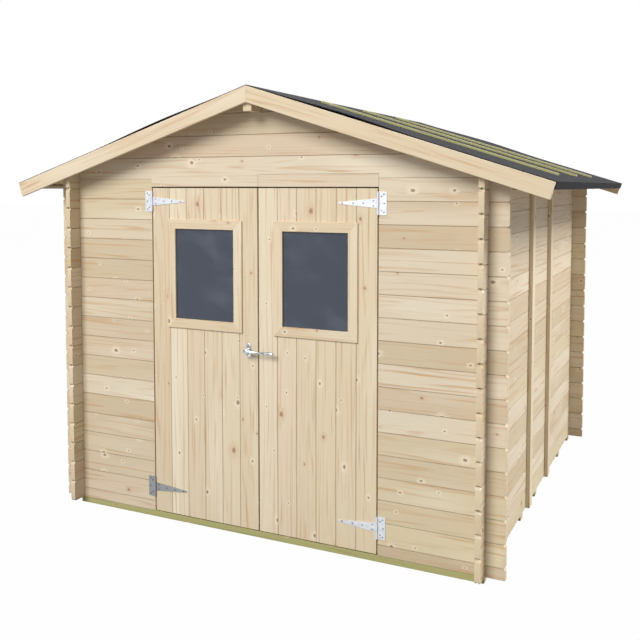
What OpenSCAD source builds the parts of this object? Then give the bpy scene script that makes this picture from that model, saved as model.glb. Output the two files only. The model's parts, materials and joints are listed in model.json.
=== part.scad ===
// Garden shed of interlocking wall boards with a gable roof and a pair of doors.
// Millimetres. +Z is up, +Y goes from the doors to the back wall, and the origin
// lies on the ground at the middle of the roof's plan.

/* [Walls] */
// Width over the outer faces of the side walls
shed_w = 2432; // [2200:1:2800]
// Depth over the outer faces of the front and back walls
shed_d = 2510; // [2200:1:2900]
// Height that one wall board covers
board_h = 114; // [108:1:118]
// Number of board courses in a side wall
courses = 17; // [17:1:18]
// Thickness of the wall boards
wall_t = 28; // [22:1:36]
// Depth of the V groove along each board joint
groove = 3; // [1:0.5:5]
// How far the front and back boards run past the side walls
gable_end = 97; // [60:1:130]
// How far the side boards run past the front and back walls
side_end = 85; // [50:1:95]
// Depth of the bite at each joint in the board ends
end_bite = 7; // [3:0.5:12]
// Clearance in the corner laps
lap_fit = 0.5; // [0.3:0.1:0.8]

/* [Base] */
// Height of the bearers
bearer_h = 34; // [28:1:60]
// Width of the bearers
bearer_w = 55; // [40:1:80]
// Number of bearers
bearer_count = 7; // [4:1:9]
// Distance that the bearers are set in from the outer faces
bearer_inset = 3; // [1:1:10]
// Thickness of the floor boards
floor_t = 18; // [14:1:24]
// Clearance round the floor
floor_fit = 0.8; // [0.3:0.1:0.9]

/* [Roof] */
// Slope of the roof
pitch = 17.7; // [14:0.1:22]
// Half the width of the roof
roof_half_w = 1535; // [1450:1:1600]
// Distance from the wall faces to the outside of the barge boards
roof_reach = 125; // [120:1:180]
// Thickness of the roof boards
deck_t = 20; // [14:1:24]
// Thickness of the felt
felt_t = 4; // [2:0.5:6]
// How far the felt stops short of the outside of the barge boards
felt_back = 6; // [2:1:15]
// Clearance between the layers of the roof
roof_fit = 0.05; // [0.02:0.01:0.2]
// Thickness of the barge boards
barge_t = 19; // [14:1:24]
// Width of the barge boards
barge_w = 80; // [60:1:110]
// Thickness of the batten under the eave
eave_batten_t = 13; // [8:1:20]
// Width of the batten under the eave
eave_batten_w = 45; // [30:1:70]
// Width of the ridge purlin
purlin_w = 50; // [38:1:70]
// Height of the ridge purlin
purlin_h = 106; // [80:1:130]
// Width of the battens on the felt
felt_batten_w = 27; // [18:1:40]
// Height of the battens on the felt
felt_batten_t = 12; // [8:1:20]
// Number of battens on each slope
felt_batten_count = 3; // [2:1:6]
// Distance between the battens on a slope
felt_batten_step = 612; // [300:1:800]
// How far the middle of the battens lies in front of the middle of the roof
felt_batten_lead = 120; // [0:1:300]
// Distance from the ridge to the upper end of the battens
felt_batten_top = 117; // [10:1:200]
// Distance from the eave to the lower end of the battens
felt_batten_stop = 105; // [20:1:200]

/* [Storm battens] */
// Width of the upright battens on the side walls
storm_w = 65; // [40:1:90]
// Thickness of the upright battens on the side walls
storm_t = 23; // [16:1:35]
// Distance of the upright battens from the middle of the wall
storm_y = 283; // [150:1:700]

/* [Doors] */
// Width of the doorway
door_w = 1350; // [1200:1:1500]
// Height from the wall's foot to the top of the leaves
door_h = 1830; // [1780:1:1850]
// Gap round each leaf
door_gap = 6; // [5:0.5:8]
// Thickness of the door boards
door_t = 18; // [14:1:22]
// Number of boards in each leaf
door_boards = 6; // [4:1:8]
// Depth of the V groove between the door boards
door_groove = 2; // [1:0.5:4]
// Height of the ledges behind the boards
ledge_h = 95; // [60:1:120]
// Thickness of the ledges
ledge_t = 20; // [14:1:28]
// Distance of the ledges from the sides of a leaf
ledge_inset = 42; // [35:1:80]
// Depth of the jambs behind the wall
jamb_d = 34; // [24:1:60]
// Width of the jambs
jamb_w = 60; // [40:1:80]
// How far the jambs reach behind the leaves
jamb_stop = 14; // [8:1:24]
// Height of the header strip over the right leaf
header_h = 66; // [55:1:85]
// Clearance round the header strip
header_fit = 0.7; // [0.3:0.1:0.9]

/* [Windows] */
// Clear width of the glass
sight_w = 368; // [250:1:400]
// Clear height of the glass
sight_h = 493; // [300:1:520]
// Height of the middle of the glass above the wall's foot
sight_z = 1361; // [1300:1:1400]
// How far the glass is set from the middle of a leaf towards the meeting edge
sight_side = 5; // [0:1:15]
// Width of the frame members
frame_w = 52; // [40:1:60]
// How far the frame stands out from the door
frame_t = 10; // [7:1:26]
// Chamfer on the edges of the frame
frame_chamfer = 2.5; // [1:0.5:5]
// Width of the bead inside
bead_w = 38; // [25:1:50]
// Thickness of the bead inside
bead_t = 14; // [8:1:20]
// Thickness of the pane
glass_t = 4; // [3:0.5:6]
// Overlap of the frame on the pane
glass_lap = 10; // [6:1:20]
// Clearance round the pane
glass_fit = 0.4; // [0.2:0.1:0.8]

/* [Hinges] */
// Height of the hinge plates on the wall
plate_h = 114; // [100:1:140]
// Width of the hinge plates
plate_w = 45; // [30:1:60]
// Thickness of the hinge steel
steel_t = 3; // [2:0.5:4]
// Length of the straps on the doors
strap_l = 213; // [150:1:260]
// Height of a strap at its root
strap_root = 48; // [36:1:60]
// Height of a strap at its tip
strap_tip = 9; // [6:1:14]
// Outer radius of the knuckles
knuckle_r = 5.5; // [5:0.1:7]
// Radius of the hinge pins
pin_r = 3; // [2.5:0.1:3.5]
// Running clearance round the pins
pin_fit = 0.05; // [0.02:0.01:0.09]
// Clearance between the ends of the knuckles
knuckle_fit = 0.5; // [0.3:0.1:0.9]
// Height of the upper hinges above the wall's foot
hinge_high = 1757; // [1650:1:1765]
// Height of the lower hinges above the wall's foot
hinge_low = 143; // [120:1:300]

/* [Handle] */
// Distance of the spindle from the meeting edge of the doors
spindle_x = 55; // [45:1:80]
// Height of the spindle above the wall's foot
spindle_z = 972; // [900:1:1000]
// Radius of the spindle
spindle_r = 5; // [4:0.1:6]
// Width of the rose plate
rose_w = 28; // [24:1:40]
// Height of the rose plate
rose_h = 80; // [60:1:120]
// Thickness of the rose plate
rose_t = 5; // [3:0.5:8]
// Length of the lever from the spindle to its tip
lever_l = 168; // [120:1:190]
// Distance from the door to the middle of the lever
lever_out = 38; // [34:1:55]
// Radius of the lever's hub
hub_r = 12; // [10:0.5:16]

/* [Hidden] */
$fn = 48;

PINE = [0.88, 0.78, 0.62];
PINE_PALE = [0.91, 0.83, 0.70];
TREATED = [0.66, 0.66, 0.46];
FELT = [0.24, 0.24, 0.27];
STEEL = [0.78, 0.79, 0.80];
BRIGHT = [0.88, 0.88, 0.90];
GLASS = [0.35, 0.40, 0.45, 0.5];

big = 4000;
eps = 0.01;
half_w = shed_w / 2;
half_d = shed_d / 2;
wall_h = courses * board_h;
slope = tan(pitch);
// Foot of the walls and the underside of the roof boards
foot = bearer_h;
apex = foot + wall_h + half_w * slope;
gable_x = half_w + gable_end;
side_y = half_d + side_end;
roof_y = half_d + roof_reach;
deck_y = roof_y - barge_t;
// Down-slope length of the roof boards
deck_s = (roof_half_w - deck_t * sin(pitch)) / cos(pitch);
// Doorway and leaves
open_x = door_w / 2;
leaf_out = open_x - door_gap;
leaf_in = door_gap / 2;
leaf_w = leaf_out - leaf_in;
leaf_foot = foot + door_gap;
leaf_top = foot + door_h;
lintel_z = leaf_top + door_gap;
split_z = foot + (ceil((lintel_z - foot) / board_h - 0.5) + 0.5) * board_h;
sight_x = (leaf_out + leaf_in) / 2 - sight_side;
hinge_x = open_x - door_gap / 2;
hinge_y = -half_d - knuckle_r - knuckle_fit;

// Height of the roof's underside over a point across the shed
function under(x) = apex - abs(x) * slope;
// A point on a slope, s down it from the ridge and n above the underside
function on_slope(s, n) =
    [s * cos(pitch) + n * sin(pitch), apex - s * sin(pitch) + n * cos(pitch)];
// The ridge of a layer that lies n above the underside
function at_ridge(n) = [0, apex + n / cos(pitch)];
// Joints between courses, with the first one at the given height
function joints(first) = [for (k = [0 : courses + 4]) foot + first + k * board_h];

// A 2D drawing in X and Z, as thick as given, from y towards the back
module upright(y, t) {
    translate([0, y + t, 0])
        rotate([90, 0, 0])
            linear_extrude(t)
                children();
}

// A square standing on its corner, for grooves and bites
module diamond(reach) {
    rotate(45)
        square(reach * sqrt(2), center = true);
}

// Section of a wall of boards: thickness across, height up, grooved on both faces
module board_section(first_joint) {
    difference() {
        translate([0, foot])
            square([wall_t, big]);
        for (z = joints(first_joint))
            for (x = [0, wall_t])
                translate([x, z])
                    diamond(groove);
    }
}

// Openings of the corner laps and the bites at the ends, in a wall's elevation
module corner_cuts(wall_face, wall_tip, first_joint) {
    for (side = [-1, 1])
        for (z = concat([foot + first_joint - board_h], joints(first_joint))) {
            translate([side * (wall_face - wall_t / 2), z])
                square([wall_t + 2 * lap_fit, board_h / 2 + lap_fit], center = true);
            translate([side * wall_tip, z])
                diamond(end_bite);
        }
}

// Boards of the front or back wall that lie within the drawing given
module gable_boards(y) {
    intersection() {
        translate([-big / 2, y, 0])
            rotate([90, 0, 90])
                linear_extrude(big)
                    board_section(board_h / 2);
        upright(y - eps, wall_t + 2 * eps)
            difference() {
                intersection() {
                    children();
                    gable_outline();
                }
                corner_cuts(half_w, gable_x, board_h / 2);
                purlin_outline(lap_fit);
            }
    }
}

// Front view of a whole gable wall
module gable_outline() {
    polygon([
        [-gable_x, foot], [gable_x, foot],
        [gable_x, under(gable_x)], [0, apex], [-gable_x, under(gable_x)]
    ]);
}

// Section of the ridge purlin with a margin round it
module purlin_outline(margin) {
    intersection() {
        translate([-purlin_w / 2 - margin, apex - purlin_h - margin])
            square([purlin_w + 2 * margin, purlin_h + 2 * margin + 1]);
        polygon([at_ridge(margin), on_slope(big, margin), [0, -big], mirrored(on_slope(big, margin))]);
    }
}

function mirrored(p) = [-p[0], p[1]];

// Right side wall
module side_boards() {
    intersection() {
        translate([half_w - wall_t, side_y, 0])
            rotate([90, 0, 0])
                linear_extrude(2 * side_y)
                    intersection() {
                        board_section(board_h);
                        translate([wall_t - half_w, 0])
                            polygon([[0, 0], [big, 0], [big, under(big)], [0, apex]]);
                    }
        translate([half_w - wall_t - eps, 0, 0])
            rotate([90, 0, 90])
                linear_extrude(wall_t + 2 * eps)
                    difference() {
                        translate([-side_y, 0])
                            square([2 * side_y, big]);
                        corner_cuts(half_d, side_y, board_h);
                    }
    }
}

// A layer of the right slope between two heights, along the roof
module roof_layer(n0, n1, s1, y) {
    upright(-y, 2 * y)
        polygon([at_ridge(n0), on_slope(s1, n0), on_slope(s1, n1), at_ridge(n1)]);
}

module roof_deck() {
    roof_layer(roof_fit, deck_t, deck_s, deck_y);
}

// Felt on the right slope, folded down over the eave
module roof_felt() {
    y = roof_y - felt_back;
    upright(-y, 2 * y)
        polygon([
            at_ridge(deck_t + roof_fit), on_slope(deck_s + roof_fit, deck_t + roof_fit),
            on_slope(deck_s + roof_fit, -eave_batten_t), on_slope(deck_s + felt_t, -eave_batten_t),
            on_slope(deck_s + felt_t, deck_t + felt_t), at_ridge(deck_t + felt_t)
        ]);
}

module eave_batten() {
    upright(-deck_y, 2 * deck_y)
        polygon([
            on_slope(deck_s - eave_batten_w, -eave_batten_t), on_slope(deck_s, -eave_batten_t),
            on_slope(deck_s, 0), on_slope(deck_s - eave_batten_w, 0)
        ]);
}

// Battens that run down the right slope over the felt
module felt_battens() {
    n0 = deck_t + felt_t;
    n1 = n0 + felt_batten_t;
    s0 = felt_batten_top;
    s1 = deck_s - felt_batten_stop;
    for (k = [0 : felt_batten_count - 1])
        upright((k - (felt_batten_count - 1) / 2) * felt_batten_step - felt_batten_lead - felt_batten_w / 2, felt_batten_w)
            polygon([on_slope(s0, n0), on_slope(s1, n0), on_slope(s1, n1), on_slope(s0, n1)]);
}

// Front barge board of the right slope, cut plumb at the ridge and square at the eave
module barge() {
    upright(-roof_y, barge_t)
        polygon([
            at_ridge(deck_t - barge_w), on_slope(deck_s, deck_t - barge_w),
            on_slope(deck_s, deck_t), at_ridge(deck_t)
        ]);
}

// Upright battens on the right wall
module storm_battens() {
    top = under(half_w + storm_t) - felt_t;
    for (side = [-1, 1])
        translate([half_w, side * storm_y - storm_w / 2, foot])
            cube([storm_t, storm_w, top - foot]);
}

// Jamb behind the wall at the right of the doorway
module jamb() {
    z0 = foot + floor_t;
    translate([open_x - jamb_stop, -half_d + wall_t, z0])
        cube([jamb_w, jamb_d, split_z - z0]);
}

// Boards of the right leaf, with the window's opening
module door_panel() {
    hole_w = sight_w + 2 * (glass_lap + glass_fit);
    hole_h = sight_h + 2 * (glass_lap + glass_fit);
    difference() {
        translate([0, 0, leaf_foot])
            linear_extrude(leaf_top - leaf_foot)
                difference() {
                    translate([leaf_in, -half_d])
                        square([leaf_w, door_t]);
                    for (k = [1 : door_boards - 1])
                        for (y = [0, door_t])
                            translate([leaf_in + k * leaf_w / door_boards, y - half_d])
                                diamond(door_groove);
                }
        translate([sight_x - hole_w / 2, -half_d - 1, foot + sight_z - hole_h / 2])
            cube([hole_w, door_t + 2, hole_h]);
    }
}

// Ledges on the inside of the right leaf
module door_ledges() {
    below_glass = sight_z - sight_h / 2 - bead_w - ledge_h;
    for (z = [hinge_low, below_glass, hinge_high])
        translate([leaf_in + ledge_inset, -half_d + door_t, foot + z - ledge_h / 2])
            cube([leaf_w - 2 * ledge_inset, ledge_t, ledge_h]);
}

// A rectangular ring round the right leaf's glass, drawn in X and Z
module sight_ring(inner, outer) {
    translate([sight_x, foot + sight_z])
        difference() {
            square([sight_w + 2 * outer, sight_h + 2 * outer], center = true);
            square([sight_w + 2 * inner, sight_h + 2 * inner], center = true);
        }
}

// A block that faces the front, w by h, whose outline is drawn across its width and its
// height alike and shared by both, so that its sloping edges meet in mitres
module mitred_block(w, h, outline_w, outline_h) {
    intersection() {
        linear_extrude(2 * h, center = true)
            polygon(outline_w);
        rotate([0, -90, 0])
            linear_extrude(2 * w, center = true)
                polygon(outline_h);
    }
}

// Outline of the frame across a size, with its front edges cut off
function frame_outline(size) = let (x = size / 2, c = frame_chamfer) [
    [-x, 0], [x, 0], [x, c - frame_t], [x - c, -frame_t], [c - x, -frame_t], [-x, c - frame_t]
];

// Outline of the frame's opening across a size, wider at the front
function sight_outline(size) = let (x = size / 2, c = frame_chamfer) [
    [-x, c], [x, c], [x, c - frame_t], [x + 2 * c, -frame_t - c], [-x - 2 * c, -frame_t - c], [-x, c - frame_t]
];

// Window frame on the outside of the right leaf
module window_frame() {
    w = sight_w + 2 * frame_w;
    h = sight_h + 2 * frame_w;
    translate([sight_x, -half_d, foot + sight_z])
        difference() {
            mitred_block(w, h, frame_outline(w), frame_outline(h));
            mitred_block(w, h, sight_outline(sight_w), sight_outline(sight_h));
        }
}

module window_bead() {
    upright(-half_d + door_t, bead_t)
        sight_ring(0, bead_w);
}

module window_glass() {
    translate([
        sight_x - sight_w / 2 - glass_lap,
        -half_d + glass_fit,
        foot + sight_z - sight_h / 2 - glass_lap
    ])
        cube([sight_w + 2 * glass_lap, glass_t, sight_h + 2 * glass_lap]);
}

// Knuckle tube round a right hinge's pin, from z0 to z1 about the hinge's middle
module knuckle(z0, z1) {
    translate([hinge_x, hinge_y, z0])
        cylinder(r = knuckle_r, h = z1 - z0);
}

// Strap of a right hinge with its middle knuckle
module hinge_strap() {
    tip_r = strap_tip / 2;
    difference() {
        union() {
            translate([hinge_x, 0, 0])
                upright(-half_d - steel_t, steel_t)
                    union() {
                        polygon([
                            [0, -strap_root / 2], [0, strap_root / 2],
                            [tip_r - strap_l, tip_r], [tip_r - strap_l, -tip_r]
                        ]);
                        translate([tip_r - strap_l, 0])
                            circle(tip_r);
                    }
            knuckle(-strap_root / 2, strap_root / 2);
        }
        translate([hinge_x, hinge_y, -strap_root])
            cylinder(r = pin_r + pin_fit, h = 2 * strap_root);
    }
}

// Plate of a right hinge with its two knuckles and the pin through them
module hinge_plate() {
    reach = strap_root / 2 + knuckle_fit;
    half = plate_h / 2;
    difference() {
        translate([hinge_x, -half_d - steel_t, -half])
            cube([plate_w, steel_t, plate_h]);
        translate([hinge_x - 1, -half_d - steel_t - 1, -reach])
            cube([knuckle_r + knuckle_fit + 1, steel_t + 2, 2 * reach]);
    }
    knuckle(-half, -reach);
    knuckle(reach, half);
    translate([hinge_x, hinge_y, -half])
        cylinder(r = pin_r, h = plate_h);
}

// Both hinges of a leaf; half a turn about the depth puts the right ones on the left
module at_hinges(turn) {
    for (z = [hinge_low, hinge_high])
        translate([0, 0, foot + z])
            rotate([0, turn, 0])
                children();
}

// A disc that faces the front, at the spindle
module spindle_disc(r, y0, y1) {
    translate([-leaf_in - spindle_x, -half_d - y0, foot + spindle_z])
        rotate([90, 0, 0])
            cylinder(r = r, h = y1 - y0);
}

module bearers() {
    step = (shed_d - 2 * bearer_inset - bearer_w) / (bearer_count - 1);
    color(TREATED)
        for (k = [0 : bearer_count - 1])
            translate([bearer_inset - half_w, bearer_inset - half_d + k * step, 0])
                cube([shed_w - 2 * bearer_inset, bearer_w, bearer_h]);
}

module floor() {
    edge = wall_t + floor_fit;
    color(PINE)
        translate([edge - half_w, edge - half_d, foot])
            cube([shed_w - 2 * edge, shed_d - 2 * edge, floor_t]);
}

module front_wall_left() {
    color(PINE)
        gable_boards(-half_d)
            translate([-big, 0])
                square([big - open_x, split_z]);
}

module front_wall_right() {
    color(PINE)
        gable_boards(-half_d)
            translate([open_x, 0])
                square([big - open_x, split_z]);
}

module front_gable() {
    color(PINE)
        gable_boards(-half_d)
            difference() {
                union() {
                    translate([-big, split_z])
                        square([2 * big, big]);
                    translate([-open_x, lintel_z])
                        square([2 * open_x, big]);
                }
                translate([0, lintel_z - 1])
                    square([open_x, header_h + header_fit + 1]);
            }
}

module header_strip() {
    color(PINE)
        translate([header_fit, -half_d, lintel_z])
            cube([open_x - 2 * header_fit, wall_t, header_h]);
}

module rear_wall() {
    color(PINE)
        gable_boards(half_d - wall_t)
            translate([-big, 0])
                square(2 * big);
}

module right_wall() { color(PINE) side_boards(); }
module left_wall() { color(PINE) mirror([1, 0, 0]) side_boards(); }
module right_storm_battens() { color(PINE) storm_battens(); }
module left_storm_battens() { color(PINE) mirror([1, 0, 0]) storm_battens(); }
module right_jamb() { color(PINE) jamb(); }
module left_jamb() { color(PINE) mirror([1, 0, 0]) jamb(); }

module ridge_purlin() {
    color(PINE)
        upright(-deck_y, 2 * deck_y)
            purlin_outline(0);
}

module right_roof_deck() { color(PINE) roof_deck(); }
module left_roof_deck() { color(PINE) mirror([1, 0, 0]) roof_deck(); }
module right_eave_batten() { color(PINE) eave_batten(); }
module left_eave_batten() { color(PINE) mirror([1, 0, 0]) eave_batten(); }
module right_roof_felt() { color(FELT) roof_felt(); }
module left_roof_felt() { color(FELT) mirror([1, 0, 0]) roof_felt(); }
module right_felt_battens() { color(TREATED) felt_battens(); }
module left_felt_battens() { color(TREATED) mirror([1, 0, 0]) felt_battens(); }
module front_right_barge() { color(PINE_PALE) barge(); }
module front_left_barge() { color(PINE_PALE) mirror([1, 0, 0]) barge(); }
module rear_right_barge() { color(PINE_PALE) mirror([0, 1, 0]) barge(); }
module rear_left_barge() { color(PINE_PALE) mirror([0, 1, 0]) mirror([1, 0, 0]) barge(); }

module right_hinge_plates() { color(STEEL) at_hinges(0) hinge_plate(); }
module left_hinge_plates() { color(STEEL) at_hinges(180) hinge_plate(); }
module right_hinge_straps() { color(STEEL) at_hinges(0) hinge_strap(); }
module left_hinge_straps() { color(STEEL) at_hinges(180) hinge_strap(); }

module right_door_panel() { color(PINE) door_panel(); }

module left_door_panel() {
    color(PINE)
        difference() {
            mirror([1, 0, 0])
                door_panel();
            spindle_disc(spindle_r + 1, -door_t - 1, 1);
        }
}

module right_door_ledges() { color(PINE) door_ledges(); }
module left_door_ledges() { color(PINE) mirror([1, 0, 0]) door_ledges(); }
module right_window_frame() { color(PINE_PALE) window_frame(); }
module left_window_frame() { color(PINE_PALE) mirror([1, 0, 0]) window_frame(); }
module right_window_glass() { color(GLASS) window_glass(); }
module left_window_glass() { color(GLASS) mirror([1, 0, 0]) window_glass(); }
module right_window_bead() { color(PINE) window_bead(); }
module left_window_bead() { color(PINE) mirror([1, 0, 0]) window_bead(); }

// Rose plate on the left leaf, with the spindle's bearing
module handle_rose() {
    color(BRIGHT)
        difference() {
            union() {
                translate([-leaf_in - spindle_x, 0, foot + spindle_z])
                    upright(-half_d - rose_t, rose_t)
                        union() {
                            square([rose_w, rose_h - rose_w], center = true);
                            for (side = [-1, 1])
                                translate([0, side * (rose_h - rose_w) / 2])
                                    circle(rose_w / 2);
                        }
                spindle_disc(hub_r, rose_t, lever_out - hub_r - knuckle_fit);
            }
            spindle_disc(spindle_r + pin_fit, -1, big);
        }
}

// Lever that lies across the meeting edge: hub, waisted neck and flat paddle end
module handle_lever() {
    neck_x = lever_l * 0.36;
    paddle_x = lever_l * 0.68;
    neck_r = hub_r * 0.4;
    paddle_r = hub_r * 0.75;
    color(BRIGHT) {
        spindle_disc(spindle_r, -door_t, lever_out);
        spindle_disc(hub_r, lever_out - hub_r, lever_out + hub_r * 0.6);
        translate([-leaf_in - spindle_x, -half_d - lever_out, foot + spindle_z]) {
            hull() {
                sphere(hub_r * 0.9, $fn = 24);
                translate([neck_x, 0, 0])
                    sphere(neck_r, $fn = 24);
            }
            hull() {
                translate([neck_x, 0, 0])
                    sphere(neck_r, $fn = 24);
                translate([paddle_x, 0, 0])
                    sphere(neck_r, $fn = 24);
            }
            hull() {
                translate([paddle_x, 0, 0])
                    sphere(neck_r, $fn = 24);
                translate([lever_l - 3 * paddle_r, 0, 0])
                    sphere(paddle_r, $fn = 24);
                translate([lever_l - paddle_r, 0, 0])
                    sphere(paddle_r, $fn = 24);
            }
        }
    }
}

bearers();
floor();
front_wall_left();
front_wall_right();
front_gable();
header_strip();
rear_wall();
left_wall();
right_wall();
left_storm_battens();
right_storm_battens();
left_jamb();
right_jamb();
ridge_purlin();
left_roof_deck();
right_roof_deck();
left_eave_batten();
right_eave_batten();
left_roof_felt();
right_roof_felt();
left_felt_battens();
right_felt_battens();
front_left_barge();
front_right_barge();
rear_left_barge();
rear_right_barge();
left_hinge_plates();
right_hinge_plates();
left_door_panel();
left_door_ledges();
left_window_frame();
left_window_glass();
left_window_bead();
left_hinge_straps();
right_door_panel();
right_door_ledges();
right_window_frame();
right_window_glass();
right_window_bead();
right_hinge_straps();
handle_rose();
handle_lever();
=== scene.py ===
"""Dress the garden shed: boards, roof, doors, ironwork, finishes and a plain studio."""

import json
import logging
import math
import random
from collections.abc import Callable, Iterator
from contextlib import contextmanager
from dataclasses import dataclass, field
from enum import Enum
from itertools import repeat
from typing import Any

import bmesh
import bpy
from mathutils import Matrix, Vector

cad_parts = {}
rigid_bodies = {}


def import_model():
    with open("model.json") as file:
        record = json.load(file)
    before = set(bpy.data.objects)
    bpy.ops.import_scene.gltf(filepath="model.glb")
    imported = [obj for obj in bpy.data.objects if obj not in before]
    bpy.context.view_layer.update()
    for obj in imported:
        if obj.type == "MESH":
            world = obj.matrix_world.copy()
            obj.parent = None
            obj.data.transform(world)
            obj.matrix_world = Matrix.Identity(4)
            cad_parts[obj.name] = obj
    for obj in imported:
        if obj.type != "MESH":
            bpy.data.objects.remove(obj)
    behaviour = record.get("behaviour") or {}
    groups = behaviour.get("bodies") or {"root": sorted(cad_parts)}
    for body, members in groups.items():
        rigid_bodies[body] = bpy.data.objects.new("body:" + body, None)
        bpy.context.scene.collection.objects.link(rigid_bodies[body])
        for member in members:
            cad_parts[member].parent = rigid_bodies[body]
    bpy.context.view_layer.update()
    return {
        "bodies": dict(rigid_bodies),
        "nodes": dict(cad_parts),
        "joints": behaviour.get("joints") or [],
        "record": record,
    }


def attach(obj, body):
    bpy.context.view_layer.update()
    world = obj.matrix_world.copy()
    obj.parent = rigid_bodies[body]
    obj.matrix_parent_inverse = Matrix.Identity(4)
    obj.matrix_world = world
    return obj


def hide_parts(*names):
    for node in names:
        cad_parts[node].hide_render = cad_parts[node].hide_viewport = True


log = logging.getLogger("shed")

Object = bpy.types.Object
Material = bpy.types.Material
Point = tuple[float, float, float]
Pair = tuple[float, float]
Colour = tuple[float, float, float, float]
Test = Callable[[Vector, Vector], bool]

# Two places closer than this are the same place
NEAR = 1e-5
# A normal with this much of a direction faces that way
FACING = 0.9
# Faces that meet at fewer degrees than this are shaded as one
SMOOTH = 20.0
# Fall of the roof in degrees
PITCH = 17.7
# Half the width and half the depth over the outer faces of the walls
HALF_W, HALF_D = 1.216, 1.255
# Width and height of the ridge purlin
PURLIN = (0.050, 0.106)
# Height of the bearers, on which walls and floor stand
BEARER_H = 0.034
# Thickness of the floor, and of the door leaves
FLOOR_T = LEAF_T = 0.018
# Both hands of the shed, with the sign of their X
HANDS = (("right", 1), ("left", -1))


def tint(red: int, green: int, blue: int) -> Colour:
    """Turn a colour as seen on a screen into the shader's own scale.

    Args:
        red: Red from 0 to 255.
        green: Green from 0 to 255.
        blue: Blue from 0 to 255.

    Returns:
        The colour in linear light, with full alpha.
    """
    def bend(level: int) -> float:
        """Bend one level into linear light."""
        part = level / 255.0
        return part / 12.92 if part <= 0.04045 else ((part + 0.055) / 1.055) ** 2.4

    return bend(red), bend(green), bend(blue), 1.0


class Grain(Enum):
    """Direction in which the grain of a piece of timber runs."""

    ACROSS = "x"
    BACKWARD = "y"
    UPRIGHT = "z"
    DOWN_SLOPE = "slope"


class Wire:
    """A socket of a node sheet, on which plain arithmetic adds Math nodes."""

    def __init__(self, sheet: "Sheet", socket: bpy.types.NodeSocket) -> None:
        """Keep the sheet and the socket."""
        self.sheet = sheet
        self.socket = socket

    def _math(self, operation: str, *terms: Any) -> "Wire":
        """Add a Math node on the terms given."""
        return self.sheet.add("ShaderNodeMath", {"operation": operation}, dict(enumerate(terms)))

    def __add__(self, other: Any) -> "Wire":
        """Add a value."""
        return self._math("ADD", self, other)

    def __radd__(self, other: Any) -> "Wire":
        """Add to a value."""
        return self._math("ADD", other, self)

    def __sub__(self, other: Any) -> "Wire":
        """Take a value off."""
        return self._math("SUBTRACT", self, other)

    def __rsub__(self, other: Any) -> "Wire":
        """Take off a value."""
        return self._math("SUBTRACT", other, self)

    def __mul__(self, other: Any) -> "Wire":
        """Multiply by a value."""
        return self._math("MULTIPLY", self, other)

    def __rmul__(self, other: Any) -> "Wire":
        """Multiply a value."""
        return self._math("MULTIPLY", other, self)

    def __truediv__(self, other: Any) -> "Wire":
        """Divide by a value."""
        return self._math("DIVIDE", self, other)

    def __rtruediv__(self, other: Any) -> "Wire":
        """Divide a value."""
        return self._math("DIVIDE", other, self)

    def __mod__(self, other: Any) -> "Wire":
        """Take the rest after whole steps."""
        return self._math("FLOORED_MODULO", self, other)

    def __rmod__(self, other: Any) -> "Wire":
        """Take the rest of a value after whole steps."""
        return self._math("FLOORED_MODULO", other, self)

    def __lt__(self, other: Any) -> "Wire":
        """Give 1 below a value and 0 elsewhere."""
        return self._math("LESS_THAN", self, other)

    def __gt__(self, other: Any) -> "Wire":
        """Give 1 above a value and 0 elsewhere."""
        return self._math("GREATER_THAN", self, other)

    def __abs__(self) -> "Wire":
        """Drop the sign."""
        return self._math("ABSOLUTE", self)

    def sine(self) -> "Wire":
        """Take the sine."""
        return self._math("SINE", self)

    def rise(self, low: float, high: float) -> "Wire":
        """Go smoothly from 0 at one value to 1 at another.

        Args:
            low: Value that gives 0.
            high: Value that gives 1.

        Returns:
            The smooth step.
        """
        return self.sheet.add(
            "ShaderNodeMapRange", {"interpolation_type": "SMOOTHSTEP"},
            {"Value": self, "From Min": low, "From Max": high})


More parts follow.
